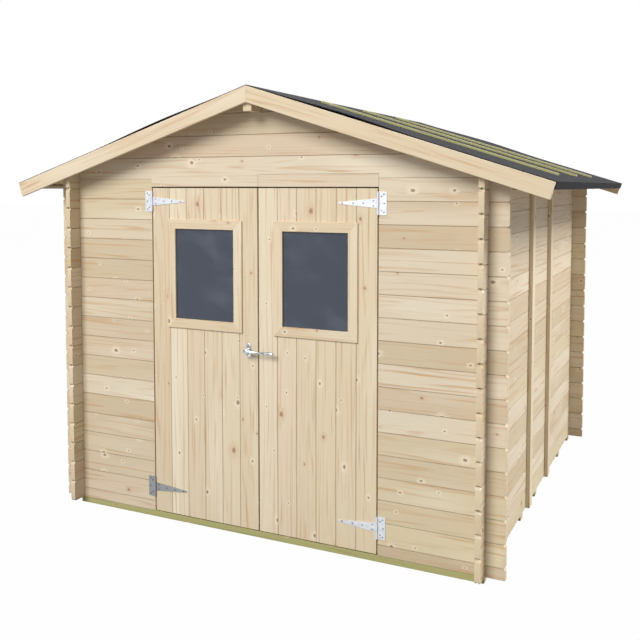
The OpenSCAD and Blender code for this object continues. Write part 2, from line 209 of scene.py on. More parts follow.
class Sheet:
    """The node sheet of one finish."""

    def __init__(self, name: str) -> None:
        """Start a material with a bare Principled shader.

        Args:
            name: Name of the material.
        """
        self.material = bpy.data.materials.new(name)
        self.material.use_nodes = True
        self.tree = self.material.node_tree
        self.shader = self.tree.nodes["Principled BSDF"]

    def add(self, kind: str, settings: dict[str, Any] | None = None,
            inputs: dict[Any, Any] | None = None, out: int | str = 0) -> Wire:
        """Add a node.

        Args:
            kind: Type of the node.
            settings: Values of its properties, set first; stops fills a colour ramp.
            inputs: Values or wires of its sockets, by name or number.
            out: Name or number of the output wanted.

        Returns:
            The wire of that output.
        """
        node = self.tree.nodes.new(kind)
        for key, value in (settings or {}).items():
            if key == "stops":
                ramp = node.color_ramp
                while len(ramp.elements) < len(value):
                    ramp.elements.new(0.5)
                for element, (place, colour) in zip(ramp.elements, value):
                    element.position, element.color = place, colour
            else:
                setattr(node, key, value)
        for key, value in (inputs or {}).items():
            self._feed(node.inputs[key], value)
        return Wire(self, node.outputs[out])

    def _feed(self, socket: bpy.types.NodeSocket, value: Any) -> None:
        """Link a wire to a socket, or set its value.

        Args:
            socket: Socket to feed.
            value: Wire or plain value.
        """
        if isinstance(value, Wire):
            self.tree.links.new(value.socket, socket)
        else:
            socket.default_value = value

    def set(self, **inputs: Any) -> None:
        """Feed the shader's own sockets, with _ for the spaces in their names."""
        for name, value in inputs.items():
            self._feed(self.shader.inputs[name.replace("_", " ")], value)

    def mix(self, factor: Any, first: Any, second: Any) -> Wire:
        """Mix two colours.

        Args:
            factor: Share of the second colour.
            first: First colour.
            second: Second colour.

        Returns:
            The mixed colour.
        """
        # The colour sockets share their names with others, so they go by number
        return self.add("ShaderNodeMix", {"data_type": "RGBA"}, {0: factor, 6: first, 7: second}, 2)

    def vector(self, x: Any, y: Any, z: Any) -> Wire:
        """Put three values together as a vector."""
        return self.add("ShaderNodeCombineXYZ", None, {0: x, 1: y, 2: z})

    def parts(self, vector: Wire) -> tuple[Wire, Wire, Wire]:
        """Take a vector apart.

        Args:
            vector: Wire of the vector.

        Returns:
            Its three parts.
        """
        split = self.add("ShaderNodeSeparateXYZ", None, {0: vector})
        outputs = split.socket.node.outputs
        return Wire(self, outputs[0]), Wire(self, outputs[1]), Wire(self, outputs[2])

    def evenly(self, parts: tuple[Wire, Wire, Wire], scale: float) -> Wire:
        """Scale the parts of a place alike and put them together."""
        return self.vector(*(part * scale for part in parts))

    def noise(self, place: Wire, detail: float = 2.0, rough: float = 0.5) -> Wire:
        """Add a noise of unit scale.

        Args:
            place: Place at which it is read.
            detail: Number of finer layers.
            rough: Strength of the finer layers.

        Returns:
            A value about one half.
        """
        return self.add("ShaderNodeTexNoise", None, {
            "Vector": place, "Scale": 1.0, "Detail": detail, "Roughness": rough})

    def place(self, output: str = "Object") -> tuple[Wire, Wire, Wire]:
        """Give the parts of the Object place, or of the piece's own normal."""
        return self.parts(self.add("ShaderNodeTexCoord", None, None, output))

    def bump(self, height: Wire, strength: float, distance: float) -> None:
        """Feed a bump of the height into the shader's normal."""
        self.set(Normal=self.add("ShaderNodeBump", None, {
            "Strength": strength, "Distance": distance, "Height": height}))


@dataclass(frozen=True)
class Timber:
    """Sawn and planed softwood, board by board.

    A scale is given along and across the grain, a step by the values where it starts and ends,
    and a share with a second value loses that much on a large reddish knot.
    """

    name: str
    grain: Grain
    tones: tuple[Colour, ...] = (
        tint(229, 215, 187), tint(224, 208, 178), tint(216, 197, 165), tint(226, 207, 180),
        tint(220, 202, 170), tint(227, 213, 178))
    streak: Colour = tint(194, 150, 104)
    pale: Colour = tint(240, 230, 209)
    flush: Colour = tint(220, 184, 154)
    knot_halo: Colour = tint(242, 229, 202)
    knot_blush: Colour = tint(196, 146, 102)
    knot_heart: Colour = tint(126, 80, 48)
    knot_red: Colour = tint(158, 106, 70)
    knot_rim: Colour = tint(94, 60, 36)
    # Colour of the painted shade on the sloping faces of the V-grooves
    groove_shade: Colour = tint(132, 104, 74)
    end_tone: Colour = tint(218, 197, 162)
    end_ring: Colour = tint(194, 162, 122)
    # Share of that painted groove shade, and the step of its mask on the sloping faces
    groove_shade_share: float = 0.0
    groove_shade_step: Pair = (0.3, 0.8)
    knot_gap: float = 0.27
    knot_lane: float = 0.118
    knot_squash: float = 0.72
    knot_chance: float = 0.68
    red_chance: float = 0.2
    red_growth: float = 0.3
    knot_radius: Pair = (0.0028, 0.0050)
    least_radius: float = 0.00005
    outline: Pair = (0.45, 1.1)
    outline_scale: Pair = (70.0, 130.0)
    halo_step: Pair = (0.8, 5.0)
    heart_step: Pair = (0.6, 1.1)
    rim_steps: tuple[Pair, Pair] = ((0.55, 0.95), (1.0, 1.5))
    halo_share: Pair = (0.58, 0.18)
    blush_share: float = 0.8
    heart_share: float = 0.78
    rim_share: Pair = (0.5, 0.25)
    swerve: Pair = (0.35, 0.02)
    slow_scale: Pair = (0.5, 8.0)
    band_waves: Pair = (62.0, 130.0)
    band_step: Pair = (0.1, 1.0)
    streak_scale: Pair = (1.3, 55.0)
    streak_steps: tuple[Pair, Pair] = ((0.38, 0.72), (0.56, 0.75))
    streak_shares: Pair = (0.62, 0.42)
    fine_scale: Pair = (9.0, 520.0)
    fine_step: Pair = (0.5, 0.8)
    fine_share: float = 0.2
    patch_scale: Pair = (1.1, 5.0)
    patch_steps: tuple[Pair, Pair] = ((0.5, 0.78), (0.54, 0.8))
    patch_shares: Pair = (0.36, 0.18)
    end_step: Pair = (0.72, 0.92)
    end_lean: float = 0.6
    end_swirl: Pair = (30.0, 0.012)
    end_waves: float = 1500.0
    end_wave_step: Pair = (-0.2, 0.9)
    end_shares: Pair = (0.2, 0.35)
    rough: Point = (0.58, 0.16, 0.12)
    relief: Point = (0.45, 0.35, 0.3)
    relief_depth: Pair = (0.3, 0.0008)
    knot_seeds: Point = (91.7, 7.3, 19.0)
    shift_seed: float = 53.0
    tone_seed: float = 17.31
    pitch: float = math.radians(PITCH)

    def _axes(self, parts: tuple[Wire, Wire, Wire]) -> tuple[Wire, Wire, Wire]:
        """Sort a place by the grain.

        Args:
            parts: The place's X, Y and Z.

        Returns:
            The place along, across and through the grain.
        """
        x, y, z = parts
        if self.grain is Grain.ACROSS:
            return x, z, y
        if self.grain is Grain.BACKWARD:
            return y, z, x
        if self.grain is Grain.UPRIGHT:
            return z, x + y, x - y
        run, drop = math.cos(self.pitch), math.sin(self.pitch)
        return abs(x) * run - z * drop, y, abs(x) * drop + z * run

    def _edges(self, sheet: Sheet) -> Wire:
        """Find the sloping faces along the long edges of a board, which take the painted groove
        shade.

        Args:
            sheet: Node sheet.

        Returns:
            1 on those faces and 0 elsewhere.
        """
        x, y, z = sheet.place("Normal")
        # Twice the product is 1 on a face that slopes halfway between two sides
        pair = {Grain.ACROSS: y * z, Grain.BACKWARD: x * z}.get(self.grain, x * y)
        return (abs(pair) * 2.0).rise(*self.groove_shade_step)

    def _knots(self, sheet: Sheet, along: Wire, across: Wire,
               seed: Wire) -> tuple[Wire, Wire, Wire]:
        """Scatter round knots over the boards.

        Args:
            sheet: Node sheet.
            along: Place along the grain.
            across: Place across the grain.
            seed: Number of the board.

        Returns:
            Distance from the nearest knot in knot radii, the knot's own chance value, and
            1 where the knot is a large reddish one.
        """
        leap, hop, turn = self.knot_seeds
        spot = sheet.vector(along / self.knot_gap + seed * leap,
                            across / self.knot_lane + seed * hop, 0.0)
        cell = sheet.add("ShaderNodeTexVoronoi", {"voronoi_dimensions": "2D"},
                         {"Vector": spot, "Scale": 1.0}, "Position")
        chance = Wire(sheet, cell.socket.node.outputs["Color"])
        first, second, third = sheet.parts(chance)
        away = sheet.add("ShaderNodeVectorMath", {"operation": "SUBTRACT"}, {0: spot, 1: cell})
        away = sheet.add("ShaderNodeVectorMath", {"operation": "MULTIPLY"},
                         {0: away, 1: (self.knot_gap * self.knot_squash, self.knot_lane, 0.0)})
        metres = sheet.add("ShaderNodeVectorMath", {"operation": "LENGTH"}, {0: away}, "Value")
        uneven = sheet.noise(sheet.vector(along * self.outline_scale[0],
                                          across * self.outline_scale[1], seed * turn))
        red = third < self.red_chance
        least, growth = self.knot_radius
        radius = ((least + first * first * growth) * (1.0 + red * self.red_growth)
                  * (second < self.knot_chance))
        ratio = metres * (self.outline[0] + uneven * self.outline[1]) / (radius + self.least_radius)
        return ratio, first, red

    def material(self) -> Material:
        """Make the finish.

        Returns:
            The timber material.
        """
        sheet = Sheet(self.name)
        along, across, deep = self._axes(sheet.place())
        seed = sheet.add("ShaderNodeAttribute", {"attribute_name": "board"}, None, "Fac")
        ratio, chance, red = self._knots(sheet, along, across, seed)
        halo = 1.0 - ratio.rise(*self.halo_step)
        heart = 1.0 - ratio.rise(*self.heart_step)
        inside, outside = self.rim_steps
        rim = (1.0 - ratio.rise(*outside)) * ratio.rise(*inside)

        shift = seed * self.shift_seed
        lane = across + halo * (chance - self.swerve[0]) * self.swerve[1]
        length, width = self.slow_scale
        slow = sheet.noise(sheet.vector(along * length + shift, lane * width + shift, deep * width))
        band = (slow * self.band_waves[0] + lane * self.band_waves[1]).sine().rise(*self.band_step)
        length, width = self.streak_scale
        streak = sheet.noise(sheet.vector(along * length + shift, lane * width, deep * width),
                             detail=3.0, rough=0.6)
        length, width = self.fine_scale
        fine = sheet.noise(sheet.vector(along * length + shift, across * width, deep * width),
                           rough=0.6)
        length, width = self.patch_scale
        patch = sheet.noise(sheet.vector(along * length - shift, across * width + shift,
                                         deep * width), detail=1.0)

        last = len(self.tones) - 1
        tone = sheet.add("ShaderNodeValToRGB", {
            "stops": [(k / last, shade) for k, shade in enumerate(self.tones)]},
            {0: (seed * self.tone_seed) % 1.0})
        shares, steps = self.patch_shares, self.patch_steps
        colour = sheet.mix(patch.rise(*steps[0]) * shares[0], tone, self.pale)
        colour = sheet.mix((1.0 - patch).rise(*steps[1]) * shares[1], colour, self.flush)
        shares, steps = self.streak_shares, self.streak_steps
        colour = sheet.mix(band * streak.rise(*steps[0]) * shares[0], colour, self.streak)
        colour = sheet.mix(streak.rise(*steps[1]) * shares[1], colour, self.streak)
        colour = sheet.mix((1.0 - fine).rise(*self.fine_step) * self.fine_share,
                           colour, self.streak)
        colour = sheet.mix(halo * (self.halo_share[0] - red * self.halo_share[1]), colour,
                           sheet.mix(red * self.blush_share, self.knot_halo, self.knot_blush))
        colour = sheet.mix(heart * self.heart_share, colour,
                           sheet.mix(red, self.knot_heart, self.knot_red))
        colour = sheet.mix(rim * (self.rim_share[0] - red * self.rim_share[1]), colour,
                           self.knot_rim)

        facing = abs(self._axes(sheet.place("Normal"))[0]).rise(*self.end_step)
        scale, sway = self.end_swirl
        swirl = sheet.noise(sheet.vector(across * scale + shift, deep * scale, shift),
                            detail=1.0)
        growth = ((across + deep * self.end_lean + swirl * sway) * self.end_waves).sine()
        end = sheet.mix(growth.rise(*self.end_wave_step) * self.end_shares[0],
                        self.end_tone, self.end_ring)
        colour = sheet.mix(facing, colour, sheet.mix(self.end_shares[1], end, tone))
        # Painted shade: the sloping faces of the V-grooves are darkened towards the groove shade
        # colour
        if self.groove_shade_share:
            edges = self._edges(sheet) * (1.0 - facing) * self.groove_shade_share
            colour = sheet.mix(edges, colour, self.groove_shade)

        plain, grainy, polish = self.rough
        sheet.set(Base_Color=colour, Roughness=plain + fine * grainy - heart * polish)
        grainy, ridged, sunk = self.relief
        sheet.bump(fine * grainy + band * ridged - heart * sunk, *self.relief_depth)
        return sheet.material


@dataclass(frozen=True)
class MineralFelt:
    """Roofing felt with crushed slate rolled into its face."""

    name: str = "mineral_felt"
    dark: Colour = tint(14, 14, 17)
    light: Colour = tint(54, 54, 59)
    body: Colour = tint(29, 29, 33)
    grit_scale: float = 620.0
    cloud_scale: float = 2.4
    light_step: Pair = (0.55, 0.75)
    dark_step: Pair = (0.52, 0.72)
    cloud_step: Pair = (0.4, 0.7)
    shares: Point = (0.75, 0.7, 0.35)
    rough: Pair = (0.86, 0.1)
    gloss: float = 0.2
    relief: Pair = (0.55, 0.0012)

    def material(self) -> Material:
        """Make the finish.

        Returns:
            The felt material.
        """
        sheet = Sheet(self.name)
        place = sheet.place()
        grit = sheet.noise(sheet.evenly(place, self.grit_scale), rough=0.7)
        cloud = sheet.noise(sheet.evenly(place, self.cloud_scale), detail=3.0, rough=0.6)
        bright, dim, dull = self.shares
        colour = sheet.mix(grit.rise(*self.light_step) * bright, self.body, self.light)
        colour = sheet.mix((1.0 - grit).rise(*self.dark_step) * dim, colour, self.dark)
        colour = sheet.mix(cloud.rise(*self.cloud_step) * dull, colour, self.dark)
        sheet.set(Base_Color=colour, Roughness=self.rough[0] + grit * self.rough[1],
                  Specular_IOR_Level=self.gloss)
        sheet.bump(grit, *self.relief)
        return sheet.material


@dataclass(frozen=True)
class Zinc:
    """Galvanised hinge steel with a faint spangle, duller towards the lower left of the doors."""

    name: str = "galvanised_steel"
    light: Colour = tint(224, 226, 230)
    dark: Colour = tint(192, 195, 201)
    # Grey that the steel takes towards the lower left of the doors, with the way, step and share of
    # that change
    lower_left_grey: Colour = tint(142, 143, 145)
    flake_scale: float = 160.0
    dull_scale: float = 34.0
    dull_step: Pair = (0.4, 0.75)
    shares: Pair = (0.45, 0.5)
    lower_left_way: Pair = (0.5, 0.6)
    lower_left_step: Pair = (-0.28, 0.46)
    lower_left_share: float = 0.95
    metal: float = 0.82
    rough: Point = (0.34, 0.1, 0.12)
    flake_relief: float = 0.4
    relief: Pair = (0.12, 0.0004)

    def material(self) -> Material:
        """Make the finish.

        Returns:
            The steel material.
        """
        sheet = Sheet(self.name)
        x, _, z = place = sheet.place()
        cell = sheet.add("ShaderNodeTexVoronoi", None, {
            "Vector": sheet.evenly(place, self.flake_scale), "Scale": 1.0}, "Color")
        flake, _, _ = sheet.parts(cell)
        dull = sheet.noise(sheet.evenly(place, self.dull_scale), detail=3.0, rough=0.6)
        mottle = flake * self.shares[0] + dull.rise(*self.dull_step) * self.shares[1]
        colour = sheet.mix(mottle, self.light, self.dark)
        # Greyer towards the lower left of the doors, set by place alone
        toward_upper_right = (x * self.lower_left_way[0] + z * self.lower_left_way[1]).rise(*self.lower_left_step)
        colour = sheet.mix((1.0 - toward_upper_right) * self.lower_left_share, colour, self.lower_left_grey)
        plain, spangled, dulled = self.rough
        sheet.set(Base_Color=colour, Metallic=self.metal,
                  Roughness=plain + flake * spangled + dull * dulled)
        sheet.bump(flake * self.flake_relief + dull, *self.relief)
        return sheet.material


@dataclass(frozen=True)
class Nickel:
    """Brushed bright metal of the handle."""

    name: str = "bright_nickel"
    light: Colour = tint(214, 217, 223)
    dark: Colour = tint(132, 136, 146)
    brush_scale: Pair = (60.0, 900.0)
    smear_scale: float = 45.0
    smear_step: Pair = (0.35, 0.7)
    rough: Point = (0.16, 0.14, 0.06)
    relief: Pair = (0.06, 0.0002)

    def material(self) -> Material:
        """Make the finish.

        Returns:
            The nickel material.
        """
        sheet = Sheet(self.name)
        x, y, z = place = sheet.place()
        length, width = self.brush_scale
        brush = sheet.noise(sheet.vector(x * length, y * width, z * width), rough=0.6)
        smear = sheet.noise(sheet.evenly(place, self.smear_scale))
        plain, brushed, smeared = self.rough
        sheet.set(Base_Color=sheet.mix(smear.rise(*self.smear_step), self.light, self.dark),
                  Metallic=1.0, Roughness=plain + brush * brushed + smear * smeared)
        sheet.bump(brush, *self.relief)
        return sheet.material


@dataclass(frozen=True)
class Pane:
    """Dark clear glass with a trace of film on it."""

    name: str = "window_pane"
    body: Colour = tint(74, 79, 92)
    film: Colour = tint(104, 110, 122)
    wipe_scale: Point = (5.0, 5.0, 7.0)
    wipe_lean: float = 3.0
    film_step: Pair = (0.42, 0.75)
    film_share: float = 0.55
    rough: Pair = (0.04, 0.05)
    rough_step: Pair = (0.4, 0.8)
    cover: float = 0.72
    index: float = 1.5

    def material(self) -> Material:
        """Make the finish.

        Returns:
            The glass material.
        """
        sheet = Sheet(self.name)
        x, y, z = sheet.place()
        wide, deep, high = self.wipe_scale
        wipe = sheet.noise(sheet.vector(x * wide + z * self.wipe_lean, y * deep, z * high),
                           detail=3.0, rough=0.55)
        film = wipe.rise(*self.film_step) * self.film_share
        sheet.set(Base_Color=sheet.mix(film, self.body, self.film),
                  Roughness=self.rough[0] + wipe.rise(*self.rough_step) * self.rough[1],
                  Alpha=self.cover, IOR=self.index)
        return sheet.material


class Bench:
    """The joiner's bench: modelling steps that the sub-assemblies share."""

    def __init__(self, seed: int = 7) -> None:
        """Start with a seeded chance for the boards' own numbers."""
        self.chance = random.Random(seed)

    @staticmethod
    def pick(*objects: Object) -> None:
        """Select only some objects.

        Args:
            objects: Objects to select, the active one first.
        """
        bpy.ops.object.select_all(action="DESELECT")
        for thing in objects:
            thing.select_set(True)
        bpy.context.view_layer.objects.active = objects[0]

    @contextmanager
    def editing(self, thing: Object) -> Iterator[None]:
        """Open an object in edit mode with nothing selected, and close it again.

        Args:
            thing: Object to edit.

        Yields:
            Nothing.
        """
        self.pick(thing)
        bpy.ops.object.mode_set(mode="EDIT")
        bpy.ops.mesh.select_all(action="DESELECT")
        yield
        bpy.ops.object.mode_set(mode="OBJECT")

    @staticmethod
    def choose_faces(thing: Object, test: Test) -> None:
        """Select the faces whose middle and normal pass a test.

        Args:
            thing: Object in edit mode.
            test: Takes a face's middle and normal.
        """
        bpy.ops.mesh.select_mode(type="FACE")
        cage = bmesh.from_edit_mesh(thing.data)
        for face in cage.faces:
            face.select_set(test(face.calc_center_median(), face.normal))
        bmesh.update_edit_mesh(thing.data)

    @staticmethod
    def choose_edges(thing: Object, test: Test) -> int:
        """Select the edges whose two ends pass a test.

        Args:
            thing: Object in edit mode.
            test: Takes the edge's ends.

        Returns:
            Number of edges selected.
        """
        bpy.ops.mesh.select_mode(type="EDGE")
        cage = bmesh.from_edit_mesh(thing.data)
        count = 0
        for edge in cage.edges:
            found = test(edge.verts[0].co, edge.verts[1].co)
            edge.select_set(found)
            count += found
        bmesh.update_edit_mesh(thing.data)
        return count

    @staticmethod
    def pull(*way: float) -> None:
        """Extrude what is selected along a way."""
        bpy.ops.mesh.extrude_region_move(TRANSFORM_OT_translate={"value": way})

    @staticmethod
    def settled(name: str, scale: Point = (1.0, 1.0, 1.0)) -> Object:
        """Name the primitive that was just added, and put its place into its mesh.

        Args:
            name: Name of the piece.
            scale: Size along each of its own axes.

        Returns:
            The piece, at the origin, unturned and unscaled.
        """
        thing = bpy.context.active_object
        thing.name = name
        thing.scale = scale
        bpy.ops.object.transform_apply(location=True, rotation=True, scale=True)
        return thing

    def block(self, name: str, low: Point, high: Point) -> Object:
        """Add a cube at its size and place.

        Args:
            name: Name of the piece.
            low: Lowest corner.
            high: Highest corner.

        Returns:
            The block, at the origin with its place in its mesh.
        """
        bpy.ops.object.select_all(action="DESELECT")
        middle = [(a + b) / 2 for a, b in zip(low, high)]
        bpy.ops.mesh.primitive_cube_add(size=1.0, location=middle)
        return self.settled(name, [b - a for a, b in zip(low, high)])

    def disc(self, name: str, centre: Point, radius: float, y0: float, y1: float,
             sides: int = 32) -> Object:
        """Add a cylinder that faces the front, from y0 to y1.

        Args:
            name: Name of the piece.
            centre: Middle in X and Z; its Y is not used.
            radius: Radius.
            y0: Front end.
            y1: Back end.
            sides: Number of sides.

        Returns:
            The cylinder, at the origin with its place in its mesh.
        """
        bpy.ops.object.select_all(action="DESELECT")
        bpy.ops.mesh.primitive_cylinder_add(
            vertices=sides, radius=radius, depth=y1 - y0,
            location=(centre[0], (y0 + y1) / 2, centre[2]), rotation=(math.pi / 2, 0.0, 0.0))
        return self.settled(name)

    def ease(self, thing: Object, width: float, test: Test | None = None,
             segments: int = 2) -> None:
        """Bevel edges.

        Args:
            thing: Object to ease.
            width: Width of the bevel.
            test: Takes an edge's ends; all edges pass where it is left out.
            segments: Number of steps across the bevel.
        """
        with self.editing(thing):
            if self.choose_edges(thing, test or (lambda a, b: True)):
                bpy.ops.mesh.bevel(offset=width, segments=segments, affect="EDGES",
                                   clamp_overlap=True)

    def plank(self, name: str, low: Point, high: Point, ease: float = 0.002) -> Object:
        """Make a planed length of timber with all its edges eased.

        Args:
            name: Name of the piece.
            low: Lowest corner.
            high: Highest corner.
            ease: Width of the bevel.

        Returns:
            The plank.
        """
        thing = self.block(name, low, high)
        self.ease(thing, ease)
        return thing

    def slice(self, thing: Object, point: Point, normal: Point,
              keep: bool = False) -> None:
        """Cut an object along a plane.

        Args:
            thing: Object to cut.
            point: A point of the plane.
            normal: Direction of the side that is cut off.
            keep: Whether both sides stay, with only a row of edges added.
        """
        with self.editing(thing):
            bpy.ops.mesh.select_all(action="SELECT")
            bpy.ops.mesh.bisect(plane_co=point, plane_no=normal, use_fill=not keep,
                                clear_outer=not keep, threshold=1e-6)
            bpy.ops.mesh.select_all(action="SELECT")
            bpy.ops.mesh.normals_make_consistent(inside=False)

    def carve(self, thing: Object, low: Point, high: Point) -> None:
        """Take a box out of an object.

        Args:
            thing: Object to carve.
            low: Lowest corner of the box.
            high: Highest corner of the box.
        """
        cutter = self.block("cutter", low, high)
        self.pick(thing)
        step = thing.modifiers.new("carve", "BOOLEAN")
        step.operation, step.solver, step.object = "DIFFERENCE", "MANIFOLD", cutter
        bpy.ops.object.modifier_apply(modifier=step.name)
        self.drop(cutter)

    @staticmethod
    def turned(thing: Object, move: Matrix) -> Object:
        """Move a piece's mesh.

        Args:
            thing: Piece to move.
            move: Its move.

        Returns:
            The same piece.
        """
        thing.data.transform(move)
        thing.data.update()
        return thing

    def copy(self, thing: Object, move: Matrix) -> Object:
        """Copy a piece with its own mesh.

        Args:
            thing: Piece to copy.
            move: Move of the copy.

        Returns:
            The copy.
        """
        twin = thing.copy()
        twin.data = thing.data.copy()
        bpy.context.collection.objects.link(twin)
        return self.turned(twin, move)

    def number(self, thing: Object, value: float | None = None) -> Object:
        """Give a board a number, which its finish reads.

        Args:
            thing: Board.
            value: Number from 0 to 1; a chance one where it is left out.

        Returns:
            The same board.
        """
        mesh = thing.data
        value = self.chance.random() if value is None else value
        marks = mesh.attributes.get("board") or mesh.attributes.new("board", "FLOAT", "POINT")
        marks.data.foreach_set("value", [value] * len(mesh.vertices))
        return thing

    def row(self, pattern: Object, moves: list[Matrix]) -> list[Object]:
        """Copy a pattern board to each place, and number the copies in turn."""
        return [self.number(self.copy(pattern, move)) for move in moves]

    def join(self, name: str, things: list[Object]) -> Object:
        """Join boards to one piece.

        Args:
            name: Name of the piece.
            things: Boards, one or more.

        Returns:
            The piece.
        """
        self.pick(*things)
        if len(things) > 1:
            bpy.ops.object.join()
        things[0].name = name
        things[0].data.name = name
        return things[0]

    @staticmethod
    def drop(*things: Object) -> None:
        """Take pattern pieces off the bench."""
        for thing in things:
            bpy.data.meshes.remove(thing.data)

    def hand_in(self, thing: Object, body: str, slot: str, *nodes: str) -> None:
        """Smooth a finished piece, tie it to its body and hide the solids it stands for.

        Args:
            thing: Finished piece.
            body: Body that it rides on.
            slot: Material slot of the record; not used.
            nodes: Solids that it replaces.
        """
        self.pick(thing)
        bpy.ops.object.shade_smooth_by_angle(angle=math.radians(SMOOTH))
        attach(thing, body)
        if nodes:
            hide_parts(*nodes)
        log.info("%s: %d faces on %s", thing.name, len(thing.data.polygons), body)

    def fit(self, name: str, things: list[Object], material: Material,
            slot: str, node: str, body: str = "shed") -> None:
        """Join boards to one piece of one material and hand it in.

        Args:
            name: Name of the piece.
            things: Boards, one or more.
            material: Their finish.
            slot: Material slot of the record.
            node: Solid that the piece replaces.
            body: Body that it rides on.
        """
        self.hand_in(dress(self.join(name, things), material), body, slot, node)


def shift(x: float = 0.0, y: float = 0.0, z: float = 0.0) -> Matrix:
    """Make a plain move."""
    return Matrix.Translation((x, y, z))


def spun(degrees: float, axis: str = "Z") -> Matrix:
    """Make a turn about an axis through the origin."""
    return Matrix.Rotation(math.radians(degrees), 4, axis)


def dress(thing: Object, material: Material) -> Object:
    """Put one material on a new piece.

    Args:
        thing: Piece to dress.
        material: Its finish.

    Returns:
        The same piece.
    """
    thing.data.materials.clear()
    thing.data.materials.append(material)
    return thing


@dataclass
class Roofline:
    """The plane that the roof boards lie on, shared by walls and roof."""

    pitch: float = PITCH
    apex: float = 2.35999

    @property
    def fall(self) -> float:
        """Drop for each metre across."""
        return math.tan(math.radians(self.pitch))

    def under(self, x: float) -> float:
        """Height of the roof's underside across the shed."""
        return self.apex - abs(x) * self.fall

    def upward(self, side: int) -> Point:
        """Direction straight out of one slope."""
        angle = math.radians(self.pitch)
        return side * math.sin(angle), 0.0, math.cos(angle)

    def onto(self, side: int) -> Matrix:
        """Move a flat layout, ridge at X 0 and underside at Z 0, onto one slope."""
        return shift(z=self.apex) @ spun(side * self.pitch, "Y")


